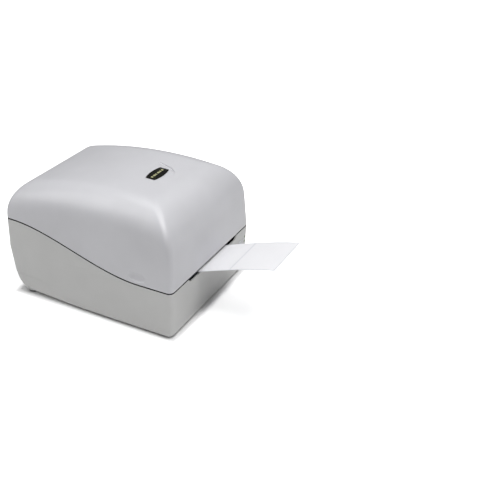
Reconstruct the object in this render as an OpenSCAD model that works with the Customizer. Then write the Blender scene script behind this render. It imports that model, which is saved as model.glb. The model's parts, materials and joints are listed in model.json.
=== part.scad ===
// Desktop thermal label printer: a clamshell case with the label roll, platen drive
// and electronics in the base, and the print head and ribbon spools in the lid.
// Origin: on the table under the middle of the case. Front is -Y, right is +X, up is +Z.

/* [Case] */
// Width of the case at the parting line
body_w = 226; // [224:1:236]
// Depth of the case, front face to rear face
body_d = 288; // [286:1:296]
// Height of the crown of the lid above the table
body_h = 195; // [193:1:203]
// Thickness of the plastic shells
wall = 2.5; // [2:0.1:2.8]
// Thickness of the base floor
floor_t = 3; // [2.5:0.1:3.5]
// Height of the rubber feet
foot_h = 3; // [2:0.5:5]
// Radius of the rubber feet
foot_r = 9; // [7:0.5:11]
// Gap along the parting line
split_gap = 1; // [0.6:0.1:1.4]
// Height of the parting line at the front
split_low = 80; // [79:0.5:81]
// Rise of the parting line from the front to the rear
split_rise = 46; // [45:1:48]
// Radius of the crown along the depth of the lid
crown_r = 630; // [580:10:700]
// Front-to-back place of the highest point of the crown
crown_y = -36; // [-46:1:-26]
// Radius of the lid's front upper edge
front_round = 60; // [56:1:66]
// Radius of the lid's rear upper edge
rear_round = 41; // [36:1:44]
// Radius of the lid's side upper edges
side_round = 41; // [38:1:42]
// Radius of the vertical corners in plan
corner_r = 8; // [7:0.5:10]
// Radius of the base's rear lower edge
tail_round = 26; // [22:1:28]
// Radius of the base's other lower edges
sole_round = 4; // [2:0.5:5]
// How far each lid side leans in over the full height
lid_lean = 10.3; // [8:0.1:12]
// How far the lid front leans back up to its round
brow_lean = 1.1; // [0.5:0.1:2]
// How far each base side draws in at the floor
base_taper = 1.5; // [1:0.1:3]
// How far the base front draws back at the floor
chin_taper = 6; // [4:0.1:6.5]
// How far the base rear wall draws forward at the floor
tail_taper = 4.4; // [3:0.1:5]

/* [Paper path] */
// How far the label slot reaches left of the middle
slot_left = 66; // [64:1:69]
// How far the label slot reaches right of the middle
slot_right = 74; // [66:1:76]
// Depth of the label slot below the parting line
slot_depth = 8; // [6:0.5:9]
// Width of the backing web
web_w = 84; // [70:1:86]
// Width of each label
label_w = 80; // [66:1:82]
// Length of each label
label_len = 67; // [50:1:75]
// Gap between two labels
label_gap = 3; // [2:0.5:5]
// Thickness of the web and of a label
web_t = 0.2; // [0.2:0.05:0.3]
// Length of web that reaches out of the slot
web_out = 120; // [40:1:130]
// Outer radius of the wound label roll
roll_r = 55; // [40:1:55]
// Radius of the roll core's bore
core_bore = 12.9; // [12.7:0.1:13]
// Outer radius of the roll core
core_r = 15.6; // [15:0.1:16.5]

/* [Print drive] */
// Radius of the rubber platen
platen_r = 8; // [7.5:0.1:8.2]
// Length of the rubber platen
platen_len = 112; // [104:1:114]
// Radius of the platen shaft
shaft_r = 3; // [2.5:0.1:3.5]
// Distance of the platen axis behind the front face
platen_inset = 20; // [19:0.5:21]
// Height of the platen axis
platen_z = 68; // [67:0.5:68]
// Module of the drive gears
gear_m = 0.8; // [0.8:0.1:0.8]
// Teeth on the platen gear
platen_teeth = 24; // [24:1:24]
// Teeth on the idler's small gear and on the motor pinion
small_teeth = 16; // [16:1:16]
// Teeth on the idler's large gear
large_teeth = 48; // [48:1:48]
// Width of the motor's square body
motor_w = 42.3; // [40:0.1:42.3]
// Length of the motor body
motor_len = 30; // [26:1:34]

/* [Ribbon] */
// Width of the ink ribbon
ribbon_w = 90; // [80:1:96]
// Radius of the full supply spool
supply_r = 28; // [22:1:30]
// Radius of the take-up spool
takeup_r = 17; // [16:1:24]
// Radius of the spool hubs
hub_r = 12.4; // [11:0.1:12.5]

/* [Lid hinge] */
// Radius of the hinge knuckles
knuckle_r = 3; // [2.8:0.1:3.2]
// Radius of the hinge pins
pin_r = 1.5; // [1.2:0.1:1.6]
// Distance of each hinge from the middle of the case
hinge_x = 80; // [70:1:84]

/* [Fits] */
// Radial clearance of shafts and pins in their bores
fit = 0.1; // [0.05:0.01:0.15]
// Clearance between pieces that slide past each other
slide = 0.3; // [0.3:0.05:0.5]

/* [Hidden] */
$fn = 48;
eps = 0.01;

// ---- Places shared by several pieces, as [y, z] where they run across the case ----
front = -body_d / 2;
rear = body_d / 2;
half = body_w / 2;
floor_z = foot_h + floor_t;
thin = 1.5;
platen_at = [front + platen_inset, platen_z];
to_idler = [0.6, -0.8];
to_motor = [0.28, -0.96];
idler_at = platen_at + gear_m * (platen_teeth + small_teeth) / 2 * to_idler;
motor_at = idler_at + gear_m * (large_teeth + small_teeth) / 2 * to_motor;
web_z = platen_z + platen_r + slide;
head_z = web_z + 2 * web_t + 0.4;
deck_z = platen_z + 2;
tray_t = 2.5;
deck_drop = 7;
side_deck_front = front + 82;
bay_half = 70;
roll_at = [front + 189, floor_z + tray_t + roll_r + 12.5];
trough_r = roll_r + 3;
bay_rear = roll_at.x + trough_r;
tray_rear = rear - 6;
ridge_at = [front + 72, web_z - slide / 3 - 3];
guide_y = front + 56;
sensor_at = [platen_at.x + 18, platen_z + 1];
supply_at = [front + 119, body_h - 47];
takeup_at = [front + 56, body_h - 45];
hinge_at = [rear + 0.5, split_low + split_rise + 0.3];
plate_in = platen_len / 2 + 4.5;
plate_out = plate_in + thin;
frame_in = 58;
frame_t = 3;
board_z = floor_z + 4;
board_t = 1.6;
io_z = 32;

// ---- Case outline ----
split_run = 227;
split_start = -92;
crown_c = body_h - crown_r;
front_top = front + brow_lean;
front_cy = front_top + front_round;
front_cz = crown_c + sqrt(pow(crown_r - front_round, 2) - pow(front_cy - crown_y, 2));
rear_cy = rear - rear_round;
rear_cz = crown_c + sqrt(pow(crown_r - rear_round, 2) - pow(rear_cy - crown_y, 2));
brow_drop = crown_c + sqrt(pow(crown_r, 2) - pow(front_top - crown_y, 2)) - front_cz;
tail_scale = (side_round + 1) / brow_drop;

function mix(a, b, t) = a + (b - a) * t;
function clamp01(t) = min(1, max(0, t));
function smooth(t) = t * t * (3 - 2 * t);
function split_z(y) = split_low + split_rise * smooth(clamp01((y - split_start) / split_run));
function crown_z(y, t = 0) = crown_c + sqrt(pow(crown_r - t, 2) - pow(y - crown_y, 2));
function low(z) = clamp01((split_low - z) / (split_low - foot_h));
function high(z) = max(0, z - split_low) / (body_h - split_low);
function quarter(r, d) = d >= r ? r : sqrt(max(0, r * r - pow(r - d, 2)));
function round_in(r, z) = r - quarter(r, z - foot_h);
function half_w(z) = half - base_taper * low(z) - lid_lean * high(z);
function front_y(z) = front + chin_taper * low(z)
    + brow_lean * clamp01((z - split_low) / (front_cz - split_low));
function rear_y(z) = rear - tail_taper * low(z);

// Place along the depth where an edge round of radius r, centred on (cy, cz), lies
// `drop` below the crown; dir is -1 for the front edge and 1 for the rear edge.
function arc_gap(y, r, cy, cz, t) =
    crown_z(y, t) - cz - sqrt(max(0, pow(r - t, 2) - pow(y - cy, 2)));
function edge_y(drop, r, cy, cz, dir, t, a = 0, b = 1, n = 0) =
    let (m = (a + b) / 2, y = cy + dir * (r - t) * m)
    n > 20 ? y :
    arc_gap(y, r, cy, cz, t) < drop ? edge_y(drop, r, cy, cz, dir, t, m, b, n + 1)
                                     : edge_y(drop, r, cy, cz, dir, t, a, m, n + 1);
function drop_scale(y) = mix(1, tail_scale, clamp01((y - front_cy) / (rear_cy - front_cy)));

// One ring of the case in plan order, from its front and rear edges, its half width
// as a function literal of y, and its height as one of y.
corner_steps = 3;
side_steps = 12;
function half_ring(yf, yr, r, wide, tall) = [
    for (i = [0 : corner_steps])
        let (a = 90 * i / corner_steps, y = yf + r - r * cos(a))
        [wide(y, yf + r) - r + r * sin(a), y, tall(y)],
    for (i = [1 : side_steps - 1])
        let (y = mix(yf + r, yr - r, i / side_steps))
        [wide(y, y), y, tall(y)],
    for (i = [0 : corner_steps])
        let (a = 90 * i / corner_steps, y = yr - r + r * sin(a))
        [wide(y, yr - r) - r + r * cos(a), y, tall(y)]
];
function full_ring(h) = concat(h, [for (i = [len(h) - 1 : -1 : 0]) [-h[i].x, h[i].y, h[i].z]]);

// A closed skin through rings listed from the top down.
module loft(rings) {
    n = len(rings[0]);
    last = len(rings) - 1;
    points = [for (ring = rings) for (p = ring) p];
    walls = [
        for (k = [0 : last - 1]) for (i = [0 : n - 1])
            let (j = (i + 1) % n)
            each [
                [k * n + i, k * n + j, (k + 1) * n + i],
                [k * n + j, (k + 1) * n + j, (k + 1) * n + i]
            ]
    ];
    lids = [
        for (i = [0 : n / 2 - 2])
            each [
                [i, n - 2 - i, i + 1], [i, n - 1 - i, n - 2 - i],
                [last * n + i + 1, last * n + n - 2 - i, last * n + i],
                [last * n + n - 2 - i, last * n + n - 1 - i, last * n + i]
            ]
    ];
    polyhedron(points, concat(walls, lids));
}

arc_steps = 7;
wall_steps = 2;
function lid_arc_ring(k, t) =
    let (d = (brow_drop - t) * (1 - cos(90 * k / arc_steps)),
         yf = k == arc_steps ? front_top + t
            : edge_y(d, front_round, front_cy, front_cz, -1, t),
         yr = edge_y(d * tail_scale, rear_round, rear_cy, rear_cz, 1, t),
         fall = function (y) d * drop_scale(y),
         tall = function (y) crown_z(y, t) - fall(y),
         wide = function (y, ref) half_w(tall(ref)) - side_round
            + quarter(side_round - t, fall(ref)))
    full_ring(half_ring(yf, yr, corner_r - t, wide, tall));
function lid_wall_ring(k, t, rim) =
    let (s = k / wall_steps,
         tall = function (y) mix(crown_z(y, t) - (brow_drop - t) * drop_scale(y),
                                 split_z(y) + rim, s),
         wide = function (y, ref) half_w(tall(ref)) - t)
    full_ring(half_ring(front_y(tall(front)) + t, rear - t, corner_r - t, wide, tall));
module lid_solid(t, rim)
    loft([
        for (k = [0 : arc_steps]) lid_arc_ring(k, t),
        for (k = [1 : wall_steps]) lid_wall_ring(k, t, rim)
    ]);

// The base: straight walls under the parting line and rounded lower edges.
tail_steps = 6;
function base_ring(z_of, t) =
    let (zf = z_of(front), zr = z_of(rear),
         wide = function (y, ref) half_w(z_of(ref)) - t - round_in(sole_round, z_of(ref)),
         yf = front_y(zf) + t + round_in(sole_round, zf),
         yr = rear_y(zr) - t - round_in(tail_round, zr))
    full_ring(half_ring(yf, yr, corner_r - t, wide, z_of));
module base_solid(t, bottom, rim)
    loft([
        for (k = [0 : wall_steps - 1])
            base_ring(function (y) mix(split_z(y) + rim, foot_h + tail_round, k / wall_steps), t),
        for (k = [tail_steps : -1 : 1])
            base_ring(function (y) mix(bottom, foot_h + tail_round,
                                       1 - cos(90 * k / tail_steps)), t),
        base_ring(function (y) bottom, t)
    ]);

// ---- Shared shapes ----
// Draws a [y, z] outline across the case, from x0 to x1.
module across(x0, x1) translate([x0, 0, 0]) rotate([90, 0, 90]) linear_extrude(x1 - x0) children();
// A round bar across the case at a [y, z] place.
module bar(at, r, x0, x1) across(x0, x1) translate(at) circle(r);
module tube(at, r_in, r_out, x0, x1) across(x0, x1) translate(at) difference() {
    circle(r_out);
    circle(r_in);
}
module box(x0, x1, y0, y1, z0, z1) translate([x0, y0, z0]) cube([x1 - x0, y1 - y0, z1 - z0]);
module both() {
    children();
    mirror([1, 0, 0]) children();
}
function ring_at(r, a) = r * [cos(a), sin(a)];
// A slot with round ends, in the XZ plane, from y0 to y1.
module stadium(cx, cz, reach, r, y0, y1) translate([cx, y1, cz]) rotate([90, 0, 0])
    linear_extrude(y1 - y0) {
        for (s = [-1, 1]) translate([s * reach, 0]) circle(r);
        translate([-reach, -r]) square([2 * reach, 2 * r]);
    }
// A pan head screw pointing down from its seat at the origin.
module screw(shank, r = 1.4) {
    cylinder(h = 1.8, r = 2 * r);
    translate([0, 0, -shank]) cylinder(h = shank + eps, r = r);
}

// Involute spur gear outline of module m with its first tooth at angle 0.
pressure = 20;
backlash = 0.16;
function invol(rb, r) = let (t = sqrt(pow(r / rb, 2) - 1)) t * 180 / PI - atan(t);
function flank(teeth, m, r) =
    let (rp = m * teeth / 2, rb = rp * cos(pressure))
    90 / teeth - backlash / 2 / rp * 180 / PI + invol(rb, rp) - invol(rb, max(r, rb));
function bearing(v) = atan2(v.y, v.x);
module gear2d(teeth, m, phase = 0) {
    rp = m * teeth / 2;
    root = rp - 1.25 * m;
    tip = rp + 0.95 * m;
    base = max(mix(root, tip, 0.15), rp * cos(pressure));
    radii = [root, base, mix(base, tip, 0.35), mix(base, tip, 0.7), tip];
    rotate(phase) polygon([for (k = [0 : teeth - 1]) each concat(
        [for (r = radii) let (a = 360 * k / teeth - flank(teeth, m, r)) r * [cos(a), sin(a)]],
        [for (i = [4 : -1 : 0])
            let (r = radii[i], a = 360 * k / teeth + flank(teeth, m, r)) r * [cos(a), sin(a)]]
    )]);
}

// Sockets of the rear panel, as [left edge, width, height]
usb_box = [-44, 12, 11];
serial_box = [-18, 31, 12.5];
parallel_box = [21, 54, 12.5];
inlet_box = [-66, 11, 11];
switch_box = [84, 14, 17];
function right(b) = b[0] + b[1];

// ---- Case ----
slot_floor = split_low - slot_depth;
foot_x = half - 17;
foot_y = [front + 24, rear - 23];
lobe_r = foot_r + 1;
lobe_top = foot_h + 16;
post_x = half - 15;
post_y = [front + 28, rear - 34];
board_posts = [for (x = [25 - half, half - 25]) for (y = [front + 96, front + 174, rear - 52]) [x, y]];
io_posts = [[-70, rear - 26], [0, rear - 26], [70, rear - 26]];
port_x = [inlet_box[0] - 8, right(switch_box) + 2];
port_z = [io_z, io_z + 20];
button_at = [half - 25, 57];
lens_at = [[half - 10, 61], [half - 10, 53]];
panel_y = front + 13;
panel_posts = [[half - 30.5, 47.5], [half - 8.5, 47.5]];
knuckle_w = 8;
knuckle_gap = 0.4;
knuckle_span = 1.5 * knuckle_w + knuckle_gap;

// Moulded lobes under the rounded tail, which carry the rear feet.
module foot_lobes() both() difference() {
    translate([foot_x, foot_y[1], foot_h]) cylinder(h = lobe_top - foot_h, r = lobe_r);
    base_solid(wall / 2, foot_h + floor_t / 2, 2);
}
vent_x = [24, 60];
vent_y = [for (k = [0 : 6]) -30 + 9 * k];
vent_r = 1.6;
module floor_vents() both() for (y = vent_y) {
    box(vent_x[0], vent_x[1], y - vent_r, y + vent_r, foot_h - 1, floor_z + 1);
    for (x = vent_x) translate([x, y, foot_h - 1]) cylinder(h = floor_t + 2, r = vent_r);
}

module hinge_notch(z0, z1) both()
    box(hinge_x - knuckle_span - 1, hinge_x + knuckle_span + 1, rear - 5, rear + 5, z0, z1);
module base_shell() color("gainsboro") difference() {
    union() {
        difference() {
            base_solid(0, foot_h, -split_gap / 2);
            base_solid(wall, floor_z, 2);
        }
        foot_lobes();
        both() translate([post_x, post_y[0], foot_h + 1])
            cylinder(h = deck_z - tray_t - foot_h - 1, r = 5);
        both() translate([post_x, post_y[1], foot_h + 1])
            cylinder(h = deck_at(post_y[1] - 5) - tray_t - foot_h - 1, r = 5);
        for (p = board_posts) translate([p.x, p.y, foot_h + 1])
            cylinder(h = board_z - foot_h - 1, r = 4);
        for (p = io_posts) translate([p.x, p.y, foot_h + 1]) cylinder(h = io_z - foot_h - 1, r = 4);
        for (p = panel_posts) translate([p.x, panel_y, p.y]) rotate([90, 0, 0])
            cylinder(h = panel_y - front - wall / 2 - 2, r = 2.5);
    }
    across(-slot_left, slot_right) polygon([
        [front - 5, slot_floor], [front + 8, slot_floor],
        [front + 8, split_low + 5], [front - 5, split_low + 5]
    ]);
    floor_vents();
    hinge_notch(hinge_at.y - knuckle_r - 1.5, hinge_at.y + 5);
    box(port_x[0], port_x[1], rear - 9, rear + 5, port_z[0], port_z[1]);
    stadium(button_at.x, button_at.y, 4, 4.4, front - 5, front + 8);
    for (p = lens_at) stadium(p.x, p.y, 0.01, 1.8, front - 5, front + 8);
    for (p = board_posts) translate([p.x, p.y, floor_z]) cylinder(h = 9, r = 1.4 + fit);
    for (p = io_posts) translate([p.x, p.y, io_z - 8]) cylinder(h = 9, r = 1.4 + fit);
    both() for (p = [[post_y[0], deck_z], [post_y[1], deck_at(post_y[1])]])
        translate([post_x, p.x, p.y - 14]) cylinder(h = 14, r = 1.4 + fit);
    for (p = panel_posts) translate([p.x, panel_y + 1, p.y]) rotate([90, 0, 0])
        cylinder(h = 8, r = 1.4 + fit);
}
module lid_shell() color("white") difference() {
    lid_solid(0, split_gap / 2);
    lid_solid(wall, -2);
    hinge_notch(hinge_at.y - 5, hinge_at.y + knuckle_r + 1.8);
}
module rubber_feet() color("dimgray")
    both() for (y = foot_y) translate([foot_x, y, 0]) cylinder(h = foot_h, r = foot_r);

// ---- Tray that holds the roll ----
// Stations along the depth, and the deck's height on the straight run between them.
deck_steps = 14;
deck_step = (tray_rear - side_deck_front) / deck_steps;
function deck_at(y) =
    let (t = (y - side_deck_front) / deck_step, k = floor(t), y0 = side_deck_front + k * deck_step)
    mix(split_z(y0), split_z(y0 + deck_step), t - k) - deck_drop;
function deck_line(y0, y1, drop) = [
    for (y = concat([y0], [for (i = [1 : deck_steps - 1]) side_deck_front + i * deck_step], [y1]))
        if (y >= y0 && y <= y1) [y, deck_at(y) - drop]];
function reversed(list) = [for (i = [len(list) - 1 : -1 : 0]) list[i]];
module deck_strip(y0, y1) polygon(concat(deck_line(y0, y1, 0), reversed(deck_line(y0, y1, tray_t))));
tray_half = half - wall - 6.5;
apron_half = half - wall - 3.5;
cradle_half = 12;
spindle_end = 5;
rack_z = [deck_z - 6.8, deck_z - 3.8];
module media_tray() color("#3b3d40") difference() {
    union() {
        // Front deck, with the bay's trough and rear wall behind it
        box(-apron_half, apron_half, front + 6, side_deck_front + tray_t, deck_z - tray_t, deck_z);
        across(-bay_half - eps, bay_half + eps) {
            translate([side_deck_front, deck_z - tray_t])
                square([roll_at.x - trough_r - side_deck_front, tray_t]);
            intersection() {
                translate(roll_at) difference() {
                    circle(trough_r + tray_t, $fn = 96);
                    circle(trough_r, $fn = 96);
                }
                translate([front, 0]) square([body_d, roll_at.y]);
            }
            translate([bay_rear, roll_at.y - eps])
                square([tray_t, deck_at(bay_rear) - 1 - roll_at.y]);
            deck_strip(bay_rear, tray_rear);
        }
        both() {
            across(bay_half, tray_half) deck_strip(side_deck_front, tray_rear);
            across(bay_half, bay_half + tray_t) {
                polygon(concat(deck_line(side_deck_front, bay_rear + tray_t, tray_t / 2),
                    [[bay_rear + tray_t, roll_at.y - 1], [side_deck_front, deck_z - tray_t]]));
                intersection() {
                    translate(roll_at) circle(trough_r + tray_t, $fn = 96);
                    translate([front, 0]) square([body_d, roll_at.y]);
                }
            }
            across(bay_half, tray_half) translate([side_deck_front, deck_z - tray_t])
                square([tray_t, deck_at(side_deck_front) - deck_z + tray_t - 1]);
        }
        // Ridge that the web slides over, and the pinion's pivot
        bar(ridge_at, 3, -50, 50);
        across(-50, 50) translate([ridge_at.x - 3, deck_z - 1]) square([6, ridge_at.y - deck_z + 1]);
        translate([0, guide_y, rack_z[0] - 0.4]) cylinder(h = deck_z - rack_z[0] - 1, r = 2);
    }
    box(-plate_out - 4, plate_out + 18.5, front + 9.2, guide_y - 11, deck_z - 5, deck_z + 5);
    box(plate_out, plate_out + 18.5, front + 9.2, idler_at.x + 18.5, deck_z - 5, deck_z + 5);
    both() box(45, 65, guide_y - 2.4, guide_y + 2.4, deck_z - 5, deck_z + 5);
    both() across(bay_half - 1, bay_half + tray_t + 6.5) translate([roll_at.x, 0]) {
        translate([0, roll_at.y]) circle(spindle_end + 1.5);
        translate([-spindle_end - 1.5, roll_at.y]) square([2 * spindle_end + 3, 80]);
    }
    both() across(bay_half + tray_t + eps, bay_half + tray_t + 6.5)
        translate([roll_at.x - cradle_half - 0.5, roll_at.y + 5]) square([2 * cradle_half + 1, 60]);
    both() for (y = post_y) translate([post_x, y, deck_z - 5]) cylinder(h = 80, r = 1.4 + fit);
}
module roll_cradles() color("gray") both()
    across(bay_half + tray_t, bay_half + tray_t + 6) difference() {
        translate(roll_at + [-cradle_half, -14]) square([2 * cradle_half, 30]);
        translate(roll_at) circle(spindle_end + fit);
        translate(roll_at - [spindle_end + fit, 0]) square([2 * (spindle_end + fit), 30]);
    }
module tray_screws() color("silver") both() {
    translate([post_x, post_y[0], deck_z]) screw(12);
    translate([post_x, post_y[1], deck_at(post_y[1] + 3)]) screw(12);
}

// ---- Platen drive ----
gear_x = [plate_out + 4, plate_out + 10, plate_out + 11, plate_out + 16];
idler_r = 2.5;
rotor_r = 2.5;
module chassis_side() polygon([
    [front + 10, floor_z], [front + 10, platen_z + 8], [guide_y - 12, platen_z + 8],
    [guide_y - 12, platen_z - 6.5], [motor_at.x + 24, platen_z - 6.5], [motor_at.x + 24, floor_z]
]);
module chassis() color("lightgray") difference() {
    union() {
        both() across(plate_in, plate_out) chassis_side();
        box(-plate_out, plate_out, front + 10, motor_at.x + 24, floor_z, floor_z + thin);
    }
    bar(platen_at, 6, -half, half);
    bar(sensor_at, 1.5 + fit, -half, half);
    bar(motor_at, 11 + fit, 0, half);
    bar(idler_at, idler_r, 0, half);
    for (sy = [-1, 1]) for (sz = [-1, 1]) bar(motor_at + 15.5 * [sy, sz], 1.6, 0, half);
    both() for (y = chassis_screw_y) translate([chassis_screw_x, y, 0]) cylinder(h = 20, r = 1.6);
}
chassis_screw_x = 20;
chassis_screw_y = [front + 16, motor_at.x + 18];
module chassis_screws() color("silver")
    both() for (y = chassis_screw_y) translate([chassis_screw_x, y, floor_z + thin]) screw(thin);
module platen_bushes() color("ivory") both() {
    tube(platen_at, shaft_r + fit, 6, plate_in, plate_out);
    tube(platen_at, shaft_r + fit, 7.5, plate_in - 1.5, plate_in);
}
module platen_shaft() color("silver") bar(platen_at, shaft_r, -plate_out - 3, gear_x[1] + 0.2);
module platen_rubber() color("#26282a")
    tube(platen_at, shaft_r, platen_r, -platen_len / 2, platen_len / 2);
module platen_gear() color("white") difference() {
    union() {
        across(gear_x[0], gear_x[1]) translate(platen_at)
            gear2d(platen_teeth, gear_m, bearing(to_idler));
        bar(platen_at, 6, gear_x[0] - 2, gear_x[0] + 1);
    }
    bar(platen_at, shaft_r, 0, half);
}
// Round windows that lighten the idler's large wheel.
wheel_window_at = 12.3;
wheel_window_r = 3.2;
module idler_gear() color("ivory") difference() {
    union() {
        across(gear_x[0], gear_x[1]) translate(idler_at)
            gear2d(small_teeth, gear_m, bearing(to_idler) + 180 + 180 / small_teeth);
        bar(idler_at, 4.5, gear_x[1] - 1, gear_x[2] + 1);
        across(gear_x[2], gear_x[3]) translate(idler_at)
            gear2d(large_teeth, gear_m, bearing(to_motor));
    }
    bar(idler_at, idler_r + fit, 0, half);
    for (k = [0 : 4])
        bar(idler_at + ring_at(wheel_window_at, 72 * k), wheel_window_r, gear_x[2] - 1, gear_x[3] + 1);
}
module idler_post() color("silver") {
    bar(idler_at, idler_r, plate_in, gear_x[3] + 0.3);
    bar(idler_at, 4.5, plate_out, gear_x[0] - 0.3);
    bar(idler_at, 4, gear_x[3] + 0.3, gear_x[3] + 1.3);
}
module motor_body() color("dimgray") {
    difference() {
        across(plate_in - motor_len, plate_in) translate(motor_at) intersection() {
            square(motor_w, center = true);
            rotate(45) square(motor_w * 1.28, center = true);
        }
        bar(motor_at, rotor_r + fit, 0, half);
        for (sy = [-1, 1]) for (sz = [-1, 1])
            bar(motor_at + 15.5 * [sy, sz], 1.4 + fit, plate_in - 6, half);
    }
    tube(motor_at, rotor_r + fit, 11, plate_in, plate_out + 0.5);
}
module motor_shaft() color("silver") bar(motor_at, rotor_r, plate_in - motor_len + 2, gear_x[3] + 1);
module motor_pinion() color("khaki") difference() {
    across(gear_x[2], gear_x[3]) translate(motor_at)
        gear2d(small_teeth, gear_m, bearing(to_motor) + 180 + 180 / small_teeth);
    bar(motor_at, rotor_r, 0, half);
}
module motor_screws() color("silver") for (sy = [-1, 1]) for (sz = [-1, 1])
    translate([plate_out, motor_at.x + 15.5 * sy, motor_at.y + 15.5 * sz])
        rotate([0, 90, 0]) screw(thin + 5);
module tear_bar() color("slategray") {
    translate([0, front + 9, 0]) rotate([90, 0, 0]) linear_extrude(1.5) polygon(concat(
        [for (i = [-28 : 28]) each [[2 * i - 0.5, web_z - 1.5], [2 * i + 0.5, web_z - 0.3]]],
        [[platen_len / 2 + 2, deck_z], [-platen_len / 2 - 2, deck_z]]));
    box(-platen_len / 2 - 2, platen_len / 2 + 2, front + 6, front + 9, deck_z, deck_z + 1.5);
}

// ---- Label roll and web ----
module roll_spindle() color("darkslategray") {
    bar(roll_at, core_bore - slide, -62, 62);
    bar(roll_at, spindle_end, -bay_half - tray_t - 6, bay_half + tray_t + 6);
}
flange_r = 30;
flange_t = 2;
flange_window_r = 4.5;
module roll_flanges() color("slategray") both() difference() {
    tube(roll_at, core_bore - slide, flange_r, web_w / 2 + 0.5, web_w / 2 + 0.5 + flange_t);
    for (k = [0 : 5])
        bar(roll_at + ring_at(mix(core_r, flange_r, 0.5), 60 * k), flange_window_r, web_w / 2, half);
}
module roll_core() color("burlywood") tube(roll_at, core_bore, core_r, -web_w / 2, web_w / 2);
module label_roll() color("white")
    tube(roll_at, core_r, roll_r, -web_w / 2, web_w / 2, $fn = 96);

exit_y = front + 4;
web_end = front - web_out;
exit_lift = 38;
exit_bend = 1.2;
tangent_angle = asin((roll_r + slide) / norm(roll_at - [ridge_at.x, web_z]))
    + atan2(roll_at.y - web_z, roll_at.x - ridge_at.x);
web_start = roll_at.x - (roll_r + slide) * sin(tangent_angle);
// Height of the web's underside: flat over the platen, rising to the roll behind it,
// and lifting in a fading curve where it leaves the slot.
function web_at(y) =
    y > ridge_at.x ? web_z + (y - ridge_at.x) * tan(tangent_angle) :
    y > exit_y ? web_z :
    web_z + exit_lift * (1 - pow(1 - (exit_y - y) / (exit_y - web_end), exit_bend));
function web_stations(y0, y1) = concat([y0],
    [for (y = concat([web_start], [ridge_at.x], [exit_y],
        [for (k = [1 : 15]) mix(exit_y, web_end, k / 16)]))
        if (y < y0 - 0.5 && y > y1 + 0.5) y], [y1]);
module web_strip(y0, y1, width, rise, t) across(-width / 2, width / 2) polygon(concat(
    [for (y = web_stations(y0, y1)) [y, web_at(y) + rise]],
    [for (y = reversed(web_stations(y0, y1))) [y, web_at(y) + rise + t]]));
module label_liner() color("#f4e9c8") web_strip(web_start, web_end, web_w, 0, web_t);
label_pitch = label_len + label_gap;
module labels() color("white") for (k = [0 : 3])
    let (lead = web_end + label_gap / 2 + k * label_pitch)
    web_strip(min(lead + label_len, web_start), lead, label_w, web_t, web_t);

// ---- Edge guides and sensor ----
guide_in = web_w / 2 + 0.4;
guide_travel = 13;
rack_m = 1;
pinion_teeth = 12;
pitch_r = rack_m * pinion_teeth / 2;
rack_back = pitch_r + 4;
module guide() {
    box(guide_in, guide_in + 2, guide_y - 10, guide_y + 10, deck_z + slide, deck_z + 12);
    box(guide_in, guide_in + 12, guide_y - 10, guide_y + 10, deck_z + slide, deck_z + 2.5);
    box(46, 50, guide_y - 2, guide_y + 2, rack_z[0], deck_z + 1);
    box(45, 52, guide_y - rack_back, guide_y + 2, rack_z[0], rack_z[1]);
    translate([0, guide_y, rack_z[0]]) linear_extrude(rack_z[1] - rack_z[0]) {
        translate([-20, -rack_back]) square([70, rack_back - pitch_r - 1.25 * rack_m + eps]);
        for (k = [-6 : 13]) translate([(k + 0.5) * PI * rack_m, -pitch_r]) polygon([
            [-1.16, -1.25], [1.16, -1.25], [0.36, 0.9], [-0.36, 0.9]] * rack_m);
    }
}
module guide_right() color("#2f6fa8") guide();
module guide_left() color("#2f6fa8")
    translate([0, guide_y, 0]) rotate(180) translate([0, -guide_y, 0]) guide();
module guide_pinion() color("ivory") translate([0, guide_y, rack_z[0]])
    linear_extrude(rack_z[1] - rack_z[0]) difference() {
        gear2d(pinion_teeth, rack_m);
        circle(2 + fit);
    }
module sensor_rail() color("silver") bar(sensor_at, 1.5, -plate_out, plate_out);
module sensor_carriage() color("#2f6fa8") difference() {
    box(-6, 6, sensor_at.x - 4.5, sensor_at.x + 4.5, sensor_at.y - 4, web_z - 0.6);
    bar(sensor_at, 1.5 + fit, -10, 10);
}

// ---- Electronics ----
board_half = half - 15;
module main_board() color("darkgreen") difference() {
    box(-board_half, board_half, front + 89, rear - 44, board_z, board_z + board_t);
    for (p = board_posts) translate([p.x, p.y, 0]) cylinder(h = 40, r = 1.6);
}
module board_parts() color("#222222") {
    top = board_z + board_t;
    box(-40, -16, front + 96, front + 120, top, top + 2);
    box(0, 18, front + 98, front + 110, top, top + 1.6);
    box(30, 58, front + 94, front + 100, top, top + 9);
    for (x = [-78, -64]) translate([x, front + 108, top]) cylinder(h = 16, r = 5);
    for (k = [0 : 3]) box(26 + 9 * k, 32 + 9 * k, front + 108, front + 113, top, top + 1.6);
}
io_half = right(parallel_box) + 3;
module io_board() color("darkgreen") difference() {
    box(-io_half, io_half, rear - 34, rear - 7.5, io_z, io_z + board_t);
    for (p = io_posts) translate([p.x, p.y, 0]) cylinder(h = 60, r = 1.6);
}
module board_screws() color("silver") {
    for (p = board_posts) translate([p.x, p.y, board_z + board_t]) screw(5);
    for (p = io_posts) translate([p.x, p.y, io_z + board_t]) screw(7);
    for (p = panel_posts) translate([p.x, panel_y + board_t, p.y]) rotate([-90, 0, 0]) screw(7);
}
io_top = io_z + board_t;
port_face = rear - 3;
switch_z = io_z + 1.5;
module socket_block(b) box(b[0], right(b), rear - 20, port_face, io_top, io_top + b[2]);
module usb_socket() color("silver") difference() {
    socket_block(usb_box);
    box(usb_box[0] + 1, right(usb_box) - 1, port_face - 9, rear, io_top + 1, io_top + 10);
}
module d_socket(b) difference() {
    socket_block(b);
    box(b[0] + 6, right(b) - 6, port_face - 7, rear, io_top + 2.2, io_top + b[2] - 2.2);
    for (x = [b[0] + 3, right(b) - 3]) stadium(x, io_top + b[2] / 2, 0.01, 1.5, port_face - 6, rear);
}
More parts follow.
